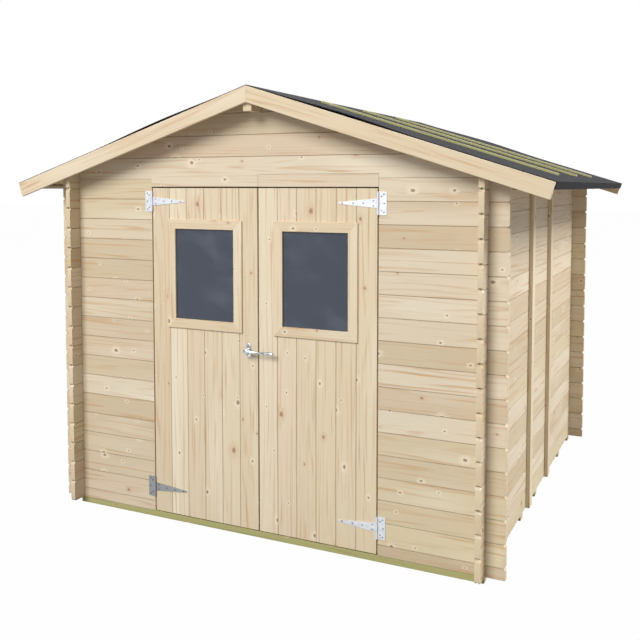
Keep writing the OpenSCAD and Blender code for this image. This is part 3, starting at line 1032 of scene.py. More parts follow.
@dataclass
class Walls:
    """Walls of tongued boards that cross at the corners."""

    bench: Bench
    roofline: Roofline
    half_w: float = HALF_W
    half_d: float = HALF_D
    thick: float = 0.028
    cover: float = 0.114
    courses: int = 17
    foot: float = BEARER_H
    gable_end: float = 0.097
    side_end: float = 0.085
    gable_half: float = 1.12
    gable_courses: int = 3
    groove: float = 0.003
    end_ease: float = 0.0015
    end_bevel: float = 0.02
    bite: float = 0.010
    lap_fit: float = 0.0005
    tongue: Pair = (0.0095, 0.0185)
    tongue_h: float = 0.006
    gap_h: float = 0.0095
    open_x: float = 0.675
    split_z: float = 1.915
    lintel_z: float = 1.870
    lintel_edge: float = 0.3
    header_h: float = 0.066
    header_fit: float = 0.0007
    header_number: float = 0.352
    purlin: Pair = PURLIN
    purlin_fit: float = 0.0005
    storm: Point = (0.023, 0.065, 0.283)
    storm_ease: float = 0.003
    storm_gap: float = 0.004
    jamb: Point = (0.060, 0.034, 0.014)
    floor_t: float = FLOOR_T
    past: float = 0.01

    @property
    def tip(self) -> float:
        """Distance of the gable boards' ends from the middle."""
        return self.half_w + self.gable_end

    @property
    def lap_x(self) -> float:
        """Distance of the side walls' middle from the middle of the shed."""
        return self.half_w - self.thick / 2

    @property
    def lap(self) -> Pair:
        """Half the width of a corner lap, and its depth."""
        return self.thick / 2 + self.lap_fit, self.cover / 4 + self.lap_fit / 2

    def board(self, x0: float, x1: float, height: float, *, tips: tuple[bool, bool],
              lap_x: float, groove: bool = True, low_lap: bool = True) -> Object:
        """Shape a board along X whose outer face lies at Y 0 and whose foot lies at Z 0.

        Args:
            x0: Left end.
            x1: Right end.
            height: Cover height.
            tips: Whether the left and the right end run past a corner.
            lap_x: Distance of the corner's middle from the middle of the wall.
            groove: Whether the foot is grooved.
            low_lap: Whether the corner laps are cut into the foot too.

        Returns:
            The board.
        """
        bench = self.bench
        board = bench.block("board", (x0, 0.0, 0.0), (x1, self.thick, height))
        for y in self.tongue:
            bench.slice(board, (0.0, y, 0.0), (0.0, 1.0, 0.0), keep=True)
        middle = sum(self.tongue) / 2
        with bench.editing(board):
            for wanted, level, up, rise in ((True, height, 1.0, self.tongue_h),
                                            (groove, 0.0, -1.0, self.gap_h)):
                if wanted:
                    bench.choose_faces(board, lambda c, n: (
                        n.z * up > FACING and abs(c.y - middle) < NEAR
                        and abs(c.z - level) < NEAR))
                    bench.pull(0.0, 0.0, rise)
        bench.ease(board, self.groove, lambda a, b: (
            abs(a.x - b.x) > NEAR and all(
                min(p.y, self.thick - p.y) < NEAR and min(p.z, height - p.z) < NEAR
                for p in (a, b))))
        for on, x, way in ((tips[0], x0, -1.0), (tips[1], x1, 1.0)):
            if on:
                bench.slice(board, (x, 0.0, height - self.bite), (way, 0.0, 1.0))
                if low_lap:
                    bench.slice(board, (x, 0.0, self.bite), (way, 0.0, -1.0))
                self._laps(board, way * lap_x, height, low_lap)
        bench.ease(board, self.end_ease, lambda a, b: (
            abs(a.x - b.x) < NEAR and min(abs(a.x - x0), abs(a.x - x1)) < NEAR
            and not (abs(a.z - b.z) < self.end_bevel and abs(a.y - b.y) < NEAR)))
        return board

    def _notch(self, board: Object, x0: float, x1: float, z0: float, z1: float) -> None:
        """Cut a notch through the thickness of a board."""
        self.bench.carve(board, (x0, -self.past, z0), (x1, self.thick + self.past, z1))

    def _laps(self, board: Object, x: float, height: float, low: bool) -> None:
        """Cut the laps of one corner into a board.

        Args:
            board: Board to cut.
            x: Middle of the corner.
            height: Cover height of the board.
            low: Whether the foot is cut too.
        """
        half, deep = self.lap
        self._notch(board, x - half, x + half, height - deep, height + 2 * self.past)
        if low:
            self._notch(board, x - half, x + half, -2 * self.past, deep)

    def _stack(self, board: Object, first: float, count: int,
               place: Matrix) -> list[Object]:
        """Copy a board up a wall.

        Args:
            board: Pattern board at height 0.
            first: Foot of the first copy.
            count: Number of copies.
            place: Move of the whole wall.

        Returns:
            The numbered copies.
        """
        return self.bench.row(board, [place @ shift(z=first + k * self.cover)
                                      for k in range(count)])

    def _courses(self, x0: float, x1: float, tips: tuple[bool, bool],
                 place: Matrix) -> tuple[list[Object], Object]:
        """Stack a half board at the foot of a gable wall and the full ones on it.

        Args:
            x0: Left end.
            x1: Right end.
            tips: Whether the left and the right end run past a corner.
            place: Move of the whole wall.

        Returns:
            The numbered boards, and the pattern of the full ones.
        """
        half = self.board(x0, x1, self.cover / 2, tips=tips, lap_x=self.lap_x, groove=False,
                          low_lap=False)
        full = self.board(x0, x1, self.cover, tips=tips, lap_x=self.lap_x)
        boards = self._stack(half, self.foot, 1, place)
        boards += self._stack(full, self.foot + self.cover / 2, self.courses - 1, place)
        self.bench.drop(half)
        return boards, full

    def _under_roof(self, board: Object) -> Object:
        """Cut a gable board to both slopes and round the ridge purlin.

        Args:
            board: Board in its place.

        Returns:
            The same board.
        """
        bench, roof = self.bench, self.roofline
        for side in (1, -1):
            bench.slice(board, (0.0, 0.0, roof.apex), roof.upward(side))
        width, height = self.purlin
        if max(v.co.z for v in board.data.vertices) > roof.apex - height:
            half, far = width / 2 + self.purlin_fit, 2 * self.half_d
            bench.carve(board, (-half, -far, roof.apex - height - self.purlin_fit),
                        (half, far, roof.apex + width))
        return board

    def _gable_top(self, place: Matrix) -> list[Object]:
        """Make the boards above the wall's last full course, cut to the roof.

        Args:
            place: Move of the whole wall.

        Returns:
            The numbered boards.
        """
        bench, boards = self.bench, []
        pattern = self.board(-self.gable_half, self.gable_half, self.cover, tips=(False, False),
                             lap_x=0.0)
        for k in range(self.gable_courses):
            board = bench.copy(pattern, place @ shift(z=self.split_z + (k + 1) * self.cover))
            boards.append(bench.number(self._under_roof(board)))
        bench.drop(pattern)
        return boards

    def _lintel(self, place: Matrix) -> Object:
        """Make the board over the doorway, let down between the walls and cut for the header.

        Args:
            place: Move of the whole wall.

        Returns:
            The numbered board.
        """
        bench, drop, far = self.bench, self.split_z - self.lintel_z, 2 * self.half_w
        lintel = self.board(-self.tip, self.tip, self.cover + drop, tips=(False, False),
                            lap_x=self.lap_x, groove=False)
        for x0, x1, z in ((-far, -self.open_x, drop), (self.open_x, far, drop),
                          (0.0, self.open_x, self.header_h + self.header_fit)):
            self._notch(lintel, x0, x1, -self.cover, z)
        bench.ease(lintel, self.groove, lambda a, b: (
            abs(a.x - b.x) > self.lintel_edge and all(
                abs(p.z - drop) < NEAR and min(p.y, self.thick - p.y) < NEAR for p in (a, b))))
        half, deep = self.lap
        for side in (-1.0, 1.0):
            x = side * self.lap_x
            bench.slice(lintel, (side * self.tip, 0.0, drop + self.bite), (side, 0.0, -1.0))
            self._notch(lintel, x - half, x + half, 0.0, drop + deep)
        bench.turned(lintel, place @ shift(z=self.lintel_z))
        return bench.number(self._under_roof(lintel))

    def front(self, timber: Material) -> None:
        """Build the front wall beside and over the doorway.

        Args:
            timber: Timber of the boards.
        """
        bench, place = self.bench, shift(y=-self.half_d)
        for name, x0, x1, tips in (
                ("front_wall_left", -self.tip, -self.open_x, (True, False)),
                ("front_wall_right", self.open_x, self.tip, (False, True))):
            boards, full = self._courses(x0, x1, tips, place)
            bench.drop(full)
            bench.fit(f"{name}_boards", boards, timber, "pine_wall", name)
        boards = [self._lintel(place)] + self._gable_top(place)
        bench.fit("front_gable_boards", boards, timber, "pine_wall", "front_gable")
        strip = bench.plank("header_board", (self.header_fit, -self.half_d, self.lintel_z),
                            (self.open_x - self.header_fit, self.thick - self.half_d,
                             self.lintel_z + self.header_h))
        bench.fit("header_board", [bench.number(strip, self.header_number)], timber, "pine_wall",
                  "header_strip")

    def rear(self, timber: Material) -> None:
        """Build the back wall.

        Args:
            timber: Timber of the boards.
        """
        bench, place = self.bench, shift(y=self.half_d) @ spun(180)
        boards, full = self._courses(-self.tip, self.tip, (True, True), place)
        edge = self._under_roof(bench.copy(full, place @ shift(z=self.split_z)))
        boards += [bench.number(edge)] + self._gable_top(place)
        bench.drop(full)
        bench.fit("rear_wall_boards", boards, timber, "pine_wall", "rear_wall")

    def sides(self, timber: Material) -> None:
        """Build both side walls.

        Args:
            timber: Timber of the boards.
        """
        bench, tip, roof = self.bench, self.half_d + self.side_end, self.roofline
        full = self.board(-tip, tip, self.cover, tips=(True, True),
                          lap_x=self.half_d - self.thick / 2)
        for hand, side in HANDS:
            place = shift(x=side * self.half_w) @ spun(side * 90)
            boards = self._stack(full, self.foot, self.courses, place)
            bench.slice(boards[-1], (0.0, 0.0, roof.apex), roof.upward(side))
            bench.fit(f"{hand}_wall_boards", boards, timber, "pine_wall", f"{hand}_wall")
        bench.drop(full)

    def battens_and_jambs(self, timber: Material) -> None:
        """Build the upright storm battens outside and the jambs inside.

        Args:
            timber: Timber of both.
        """
        bench = self.bench
        out, width, middle = self.storm
        top = self.roofline.under(self.half_w + out) - self.storm_gap
        batten = bench.plank("storm_batten", (self.half_w, -width / 2, self.foot),
                             (self.half_w + out, width / 2, top), self.storm_ease)
        for hand, side in HANDS:
            turn, node = spun(90 - 90 * side), f"{hand}_storm_battens"
            pair = bench.row(batten, [turn @ shift(y=way * middle) for way in (-1, 1)])
            bench.fit(f"{node}_pair", pair, timber, "pine_wall", node)
        width, depth, stop = self.jamb
        z0, y0 = self.foot + self.floor_t, self.thick - self.half_d
        post = bench.plank("jamb", (0.0, y0, z0), (width, y0 + depth, self.split_z))
        for hand, x in (("right", self.open_x - stop), ("left", stop - self.open_x - width)):
            piece = bench.row(post, [shift(x=x)])
            bench.fit(f"{hand}_jamb_post", piece, timber, "pine_wall", f"{hand}_jamb")
        bench.drop(batten, post)


@dataclass
class Base:
    """Treated bearers and the floor that lies on them."""

    bench: Bench
    half_w: float = HALF_W
    half_d: float = HALF_D
    bearer: Pair = (0.055, BEARER_H)
    count: int = 7
    inset: float = 0.003
    floor_t: float = FLOOR_T
    floor_ease: float = 0.0015
    edge: float = 0.0288
    floor_boards: int = 27

    def build(self, treated: Material, timber: Material) -> None:
        """Build the bearers and the floor boards.

        Args:
            treated: Timber of the bearers.
            timber: Timber of the floor.
        """
        bench = self.bench
        width, height = self.bearer
        x, y = self.half_w - self.inset, self.half_d - self.inset
        step = (2 * y - width) / (self.count - 1)
        beam = bench.plank("bearer", (-x, -y, 0.0), (x, width - y, height))
        beams = bench.row(beam, [shift(y=k * step) for k in range(self.count)])
        bench.fit("bearer_row", beams, treated, "treated_timber", "bearers")

        x, y = self.half_w - self.edge, self.half_d - self.edge
        step = 2 * x / self.floor_boards
        board = bench.plank("floor_board", (-x, -y, height),
                            (step - x, y, height + self.floor_t), self.floor_ease)
        boards = bench.row(board, [shift(x=k * step) for k in range(self.floor_boards)])
        bench.fit("floor_boards", boards, timber, "pine_wall", "floor")
        bench.drop(beam, board)


@dataclass
class Roof:
    """Roof boards, purlin, eave battens, barge boards, felt and the battens on the felt."""

    bench: Bench
    line: Roofline
    length: float = 1.6051
    deck_t: float = 0.020
    deck_y: float = 1.361
    deck_fit: float = 0.00005
    deck_over: float = 0.01
    deck_ease: float = 0.0015
    boards: int = 30
    roof_y: float = 1.380
    barge: Pair = (0.019, 0.080)
    barge_over: float = 0.05
    barge_ease: float = 0.0025
    eave: Pair = (0.013, 0.045)
    purlin: Pair = PURLIN
    purlin_ease: float = 0.002
    felt_batten: Pair = (0.027, 0.012)
    batten_rows: int = 3
    batten_step: float = 0.612
    batten_lead: float = 0.120
    batten_ends: Pair = (0.117, 0.105)
    felt_t: float = 0.004
    felt_fit: float = 0.0001
    felt_over: float = 0.02
    felt_y: float = 1.374
    felt_grid: tuple[int, int] = (40, 60)
    felt_lift: float = 0.009
    loose_edge: float = 0.16
    loose_run: Pair = (0.04, 0.62)
    wave_height: float = 0.0022
    wave_rest: float = 0.35
    wave_size: float = 0.32

    def _plumb(self, thing: Object, side: int) -> Object:
        """Cut a sloping piece plumb at the ridge."""
        self.bench.slice(thing, (0.0, 0.0, 0.0), (-side, 0.0, 0.0))
        return thing

    def _sloping(self, name: str, side: int, run: Pair, across: Pair, rise: Pair,
                 ease: float = 0.002) -> Object:
        """Make a plank that lies on a slope.

        Args:
            name: Name of the piece.
            side: 1 for the right slope, -1 for the left.
            run: Where it starts and ends down the slope.
            across: Its front and its back.
            rise: Its underside and its top above the roof boards' underside.
            ease: Width of the bevel.

        Returns:
            The plank on its slope.
        """
        low, high = sorted(side * end for end in run)
        plank = self.bench.plank(name, (low, across[0], rise[0]), (high, across[1], rise[1]), ease)
        return self.bench.turned(plank, self.line.onto(side))

    def decks(self, timber: Material) -> None:
        """Board both slopes from ridge to eave.

        Args:
            timber: Timber of the boards.
        """
        bench, step = self.bench, 2 * self.deck_y / self.boards
        for hand, side in HANDS:
            node = f"{hand}_roof_deck"
            board = self._sloping("roof_board", side, (-self.deck_over, self.length),
                                  (-self.deck_y, step - self.deck_y),
                                  (self.deck_fit, self.deck_t), self.deck_ease)
            self._plumb(board, side)
            row = bench.row(board, [shift(y=k * step) for k in range(self.boards)])
            bench.drop(board)
            bench.fit(f"{node}_boards", row, timber, "pine_wall", node)

    def edges(self, timber: Material, pale: Material) -> None:
        """Build the barge boards and the battens under the eaves.

        Args:
            timber: Timber of the battens.
            pale: Timber of the barge boards.
        """
        bench = self.bench
        thick, width = self.barge
        for word, y0 in (("front", -self.roof_y), ("rear", self.roof_y - thick)):
            for hand, side in HANDS:
                node = f"{word}_{hand}_barge"
                board = self._sloping(node, side, (-self.barge_over, self.length),
                                      (y0, y0 + thick), (self.deck_t - width, self.deck_t),
                                      self.barge_ease)
                board = bench.number(self._plumb(board, side))
                bench.fit(f"{node}_board", [board], pale, "pine_trim", node)
        thick, width = self.eave
        for hand, side in HANDS:
            node = f"{hand}_eave_batten"
            batten = self._sloping(node, side, (self.length - width, self.length),
                                   (-self.deck_y, self.deck_y), (-thick, 0.0))
            bench.fit(f"{node}_strip", [bench.number(batten)], timber, "pine_wall", node)

    def ridge(self, timber: Material) -> None:
        """Build the ridge purlin, topped to both slopes.

        Args:
            timber: Its timber.
        """
        bench, line = self.bench, self.line
        width, height = self.purlin
        beam = bench.block("ridge_purlin_beam", (-width / 2, -self.deck_y, line.apex - height),
                           (width / 2, self.deck_y, line.apex))
        for side in (1, -1):
            bench.slice(beam, (0.0, 0.0, line.apex), line.upward(side))
        bench.ease(beam, self.purlin_ease)
        bench.fit("ridge_purlin_beam", [bench.number(beam)], timber, "pine_wall", "ridge_purlin")

    def _sheet(self, side: int) -> Object:
        """Lay the felt of one slope flat, with its lip at the eave and a slight wave.

        Args:
            side: 1 for the right slope, -1 for the left.

        Returns:
            The felt before it is moved onto the slope.
        """
        bench, top = self.bench, self.deck_t + self.felt_t
        far, over = self.length + self.felt_t, self.felt_over
        bpy.ops.object.select_all(action="DESELECT")
        bpy.ops.mesh.primitive_grid_add(
            x_subdivisions=self.felt_grid[0], y_subdivisions=self.felt_grid[1], size=1.0,
            location=(side * (far - over) / 2, 0.0, top))
        felt = bench.settled("felt", (far + over, 2 * self.felt_y, 1.0))
        loose = felt.vertex_groups.new(name="loose")
        start, span = self.loose_run
        for vertex in felt.data.vertices:
            run = (vertex.co.x * side / self.length - start) / span
            edge = max(0.0, 1.0 - (self.felt_y - abs(vertex.co.y)) / self.loose_edge)
            weight = edge * edge * math.sin(math.pi * min(1.0, max(0.0, run))) ** 2
            loose.add([vertex.index], weight, "REPLACE")
        ripple = bpy.data.textures.new("ripple", "CLOUDS")
        ripple.noise_scale = self.wave_size
        bench.pick(felt)
        for name, strength, level, texture, group in (
                ("lift", self.felt_lift, 0.0, None, "loose"),
                ("wave", self.wave_height, self.wave_rest, ripple, "")):
            step = felt.modifiers.new(name, "DISPLACE")
            step.direction, step.strength, step.mid_level = "Z", strength, level
            step.texture, step.vertex_group = texture, group
            bpy.ops.object.modifier_apply(modifier=step.name)
        with bench.editing(felt):
            bench.choose_edges(felt, lambda a, b: min(a.x * side, b.x * side) > far - NEAR)
            bench.pull(0.0, 0.0, -(top + self.eave[0]))
        bench.pick(felt)
        step = felt.modifiers.new("body", "SOLIDIFY")
        step.thickness, step.offset = self.felt_t - self.felt_fit, -1.0
        bpy.ops.object.modifier_apply(modifier=step.name)
        return felt

    def felts(self, felt: Material) -> None:
        """Lay the felt on both slopes.

        Args:
            felt: Finish of the felt.
        """
        for hand, side in HANDS:
            node = f"{hand}_roof_felt"
            sheet = self.bench.turned(self._sheet(side), self.line.onto(side))
            self.bench.fit(f"{node}_sheet", [self._plumb(sheet, side)], felt, "roof_felt", node)

    def felt_battens(self, treated: Material) -> None:
        """Lay the treated battens over the felt.

        Args:
            treated: Timber of the battens.
        """
        bench = self.bench
        width, height = self.felt_batten
        top, stop = self.batten_ends
        z0, first = self.deck_t + self.felt_t, -(self.batten_rows - 1) / 2
        for hand, side in HANDS:
            node = f"{hand}_felt_battens"
            strip = self._sloping("felt_batten", side, (top, self.length - stop),
                                  (-width / 2, width / 2), (z0, z0 + height))
            row = bench.row(strip, [shift(y=(first + k) * self.batten_step - self.batten_lead)
                                    for k in range(self.batten_rows)])
            bench.drop(strip)
            bench.fit(f"{node}_row", row, treated, "treated_timber", node)


@dataclass
class Leaves:
    """The two door leaves with ledges, window frames and beads."""

    bench: Bench
    face_y: float = -HALF_D
    left_in: float = 0.003
    width: float = 0.666
    foot: float = 0.040
    top: float = 1.864
    thick: float = LEAF_T
    boards: int = 6
    groove: float = 0.002
    end_ease: float = 0.001
    ledge: Point = (0.095, 0.020, 0.042)
    ledge_z: Point = (0.177, 1.0155, 1.791)
    ledge_ease: float = 0.004
    sight: Pair = (0.368, 0.493)
    sight_z: float = 1.395
    sight_side: float = 0.005
    glass_lap: float = 0.0104
    frame: Point = (0.052, 0.010, 0.0025)
    bead: Point = (0.038, 0.014, 0.002)
    long_edge: float = 0.1
    past: float = 0.01

    def _boards(self, x0: float, sight_x: float) -> list[Object]:
        """Make the upright boards of a leaf, cut out for the window.

        Args:
            x0: Left edge of the leaf.
            sight_x: Middle of the glass.

        Returns:
            The boards from left to right.
        """
        bench, step = self.bench, self.width / self.boards
        y0, y1 = self.face_y, self.face_y + self.thick
        board = bench.block("door_board", (x0, y0, self.foot), (x0 + step, y1, self.top))
        bench.ease(board, self.groove, lambda a, b: abs(a.z - b.z) > self.long_edge)
        bench.ease(board, self.end_ease, lambda a, b: abs(a.z - b.z) < NEAR, segments=1)
        half_w, half_h = (size / 2 + self.glass_lap for size in self.sight)
        row = []
        for k in range(self.boards):
            copy = bench.copy(board, shift(x=k * step))
            if abs(x0 + (k + 0.5) * step - sight_x) < half_w + step / 2:
                bench.carve(copy, (sight_x - half_w, y0 - self.past, self.sight_z - half_h),
                            (sight_x + half_w, y1 + self.past, self.sight_z + half_h))
            row.append(copy)
        bench.drop(board)
        return row

    def _members(self, x: float, width: float, y0: float, y1: float,
                 chamfer: float) -> list[Object]:
        """Make four mitred members round a leaf's glass.

        Args:
            x: Middle of the glass.
            width: Width of a member.
            y0: Front face.
            y1: Back face.
            chamfer: Bevel along the front edges.

        Returns:
            Left stile, right stile, top rail and bottom rail.
        """
        bench, z, long_edge = self.bench, self.sight_z, self.long_edge
        half_w, half_h = (size / 2 for size in self.sight)
        out_w, out_h = half_w + width, half_h + width
        members = []
        for side in (-1, 1):
            low, high = sorted((side * out_w, side * half_w))
            stile = bench.block("stile", (x + low, y0, z - out_h), (x + high, y1, z + out_h))
            bench.ease(stile, chamfer, lambda a, b: (
                abs(a.z - b.z) > long_edge and max(a.y, b.y) < y0 + NEAR))
            for up in (-1, 1):
                bench.slice(stile, (x + side * out_w, 0.0, z + up * out_h), (-side, 0.0, up))
            members.append(stile)
        for up in (1, -1):
            low, high = sorted((up * out_h, up * half_h))
            rail = bench.block("rail", (x - out_w, y0, z + low), (x + out_w, y1, z + high))
            bench.ease(rail, chamfer, lambda a, b: (
                abs(a.x - b.x) > long_edge and max(a.y, b.y) < y0 + NEAR))
            for side in (-1, 1):
                bench.slice(rail, (x + side * out_w, 0.0, z + up * out_h), (side, 0.0, -up))
            members.append(rail)
        return members

    def build(self, upright: Material, across: Material,
              pale_upright: Material, pale_across: Material) -> None:
        """Build both leaves.

        Args:
            upright: Timber of the door boards.
            across: Timber of the ledges.
            pale_upright: Timber of the frames' stiles.
            pale_across: Timber of the frames' rails.
        """
        bench = self.bench
        wide, out, chamfer = self.frame
        strip, deep, eased = self.bead
        high, thick, inset = self.ledge
        back = self.face_y + self.thick
        mitred = (pale_upright, pale_upright, pale_across, pale_across)
        for hand, side in HANDS:
            x0 = self.left_in if side > 0 else -self.left_in - self.width
            x = side * (self.left_in + self.width / 2 - self.sight_side)
            slab = self._boards(x0, x)
            frame = self._members(x, wide, self.face_y - out, self.face_y, chamfer)
            bead = self._members(x, strip, back, back + deep, eased)
            ledges = [bench.plank("ledge", (x0 + inset, back, z - high / 2),
                                  (x0 + self.width - inset, back + thick, z + high / 2),
                                  self.ledge_ease) for z in self.ledge_z]
            for name, parts, finishes, slot in (
                    ("door_panel", slab, repeat(upright), "pine_door"),
                    ("door_ledges", ledges, repeat(across), "pine_door"),
                    ("window_frame", frame, mitred, "pine_trim"),
                    ("window_bead", bead, mitred, "pine_door")):
                parts = [bench.number(dress(part, finish)) for part, finish in zip(parts, finishes)]
                piece = bench.join(f"{hand}_{name}_boards", parts)
                bench.hand_in(piece, f"{hand}_door", slot, f"{hand}_{name}")


@dataclass
class Ironwork:
    """Screws of the hinges, and the handle."""

    bench: Bench
    face_y: float = -HALF_D
    leaf_t: float = LEAF_T
    steel: float = 0.003
    hinge_x: float = 0.672
    heights: Pair = (0.177, 1.791)
    strap_screws: tuple[Pair, ...] = (
        (-0.024, 0.013), (-0.024, -0.013), (-0.078, 0.0), (-0.132, 0.0), (-0.190, 0.0))
    plate_screws: tuple[Pair, ...] = (
        (0.030, 0.044), (0.018, 0.034), (0.030, -0.044), (0.018, -0.034), (0.033, 0.0))
    screw_r: float = 0.0042
    screw_out: float = 0.0016
    screw_ease: float = 0.0009
    screw_sides: int = 20
    recess: Pair = (0.0014, 0.0011)
    sunk: float = 0.0004
    spindle: Point = (-0.058, -1.293, 1.006)
    rose: Point = (0.028, 0.005, 0.080)
    rose_flat: float = 0.0002
    rose_ease: float = 0.0022
    hub_r: float = 0.012
    hub_out: float = 0.6
    hub_ease: float = 0.003
    collar_gap: float = 0.0005
    collar_ease: float = 0.0015
    spindle_r: float = 0.005
    spindle_ease: float = 0.0008
    spindle_sides: int = 24
    lever: tuple[Point, ...] = (
        (0.004, 0.0112, 0.0124), (0.018, 0.0110, 0.0122), (0.034, 0.0094, 0.0102),
        (0.050, 0.0066, 0.0068), (0.066, 0.0047, 0.0047), (0.092, 0.0047, 0.0047),
        (0.112, 0.0056, 0.0058), (0.128, 0.0072, 0.0082), (0.146, 0.0078, 0.0090),
        (0.159, 0.0074, 0.0086), (0.1655, 0.0050, 0.0060))
    lever_sides: int = 16
    lever_end: Pair = (0.002, 0.0018)
    round_steps: int = 6
    rose_steps: int = 10

    def screws(self, zinc: Material) -> None:
        """Set the screws into the straps and the wall plates.

        Args:
            zinc: Finish of the screws.
        """
        bench, front = self.bench, self.face_y - self.steel
        tip, (margin, depth) = front - self.screw_out, self.recess
        head = bench.disc("screw_head", (0.0, 0.0, 0.0), self.screw_r, tip, front + self.sunk,
                          self.screw_sides)
        bench.ease(head, self.screw_ease, lambda a, b: max(a.y, b.y) < tip + NEAR)
        with bench.editing(head):
            bench.choose_faces(head, lambda c, n: n.y < -FACING and c.y < tip + NEAR)
            bpy.ops.mesh.inset(thickness=margin)
            bench.pull(0.0, depth, 0.0)
        dress(head, zinc)
        for hand, side in HANDS:
            for name, spots, body in (("strap", self.strap_screws, f"{hand}_door"),
                                      ("plate", self.plate_screws, "shed")):
                heads = [bench.copy(head, shift(x=side * (self.hinge_x + x), z=middle + z))
                         for middle in self.heights for x, z in spots]
                bench.hand_in(bench.join(f"{hand}_{name}_screws", heads), body, "galvanised")
        bench.drop(head)

    def handle(self, nickel: Material) -> None:
        """Build the rose and the lever.

        Args:
            nickel: Finish of both.
        """
        bench, (x, y, z) = self.bench, self.spindle
        wide, thick, high = self.rose
        face = self.face_y - thick
        plate = bench.block("rose_plate", (x - wide / 2, face, z - high / 2),
                            (x + wide / 2, self.face_y, z + high / 2))
        bench.ease(plate, wide / 2 - self.rose_flat, lambda a, b: abs(a.y - b.y) > NEAR,
                   self.rose_steps)
        bench.ease(plate, self.rose_ease, lambda a, b: max(a.y, b.y) < face + NEAR,
                   self.round_steps)
        front = y + self.hub_r + self.collar_gap
        collar = bench.disc("collar", self.spindle, self.hub_r, front, face + self.sunk)
        bench.ease(collar, self.collar_ease, lambda a, b: max(a.y, b.y) < front + NEAR,
                   self.round_steps)
        bench.fit("handle_rose_plate", [plate, collar], nickel, "handle_metal", "handle_rose",
                  "left_door")

        inner = self.face_y + self.leaf_t
        pin = bench.disc("pin", self.spindle, self.spindle_r, y, inner, self.spindle_sides)
        bench.ease(pin, self.spindle_ease, lambda a, b: min(a.y, b.y) > inner - NEAR)
        hub = bench.disc("hub", self.spindle, self.hub_r, y - self.hub_r * self.hub_out,
                         y + self.hub_r)
        bench.ease(hub, self.hub_ease, lambda a, b: abs(a.y - b.y) < NEAR, self.round_steps)
        bench.fit("handle_lever_bar", [self._arm(), hub, pin], nickel, "handle_metal",
                  "handle_lever", "handle")

    def _arm(self) -> Object:
        """Draw the lever's arm out of a disc, section by section, and round it.

        Returns:
            The arm.
        """
        bench, (x, y, z) = self.bench, self.spindle
        reach, deep, tall = self.lever[0]
        margin, bulge = self.lever_end
        bpy.ops.object.select_all(action="DESELECT")
        bpy.ops.mesh.primitive_circle_add(
            vertices=self.lever_sides, radius=1.0, fill_type="NGON", location=(x + reach, y, z),
            rotation=(0.0, math.pi / 2, 0.0))
        arm = bench.settled("arm", (tall, deep, 1.0))
        with bench.editing(arm):
            bpy.ops.mesh.select_all(action="SELECT")
            for (a, b, c), (reach, deep, tall) in zip(self.lever, self.lever[1:]):
                bench.pull(reach - a, 0.0, 0.0)
                bpy.ops.transform.resize(value=(1.0, deep / b, tall / c),
                                         center_override=(x + reach, y, z))
            bpy.ops.mesh.inset(thickness=margin)
            bpy.ops.transform.translate(value=(bulge, 0.0, 0.0))
            bpy.ops.mesh.select_all(action="SELECT")
            bpy.ops.mesh.normals_make_consistent(inside=False)
        bench.pick(arm)
        step = arm.modifiers.new("round", "SUBSURF")
        step.levels = step.render_levels = 2
        bpy.ops.object.modifier_apply(modifier=step.name)
        return arm


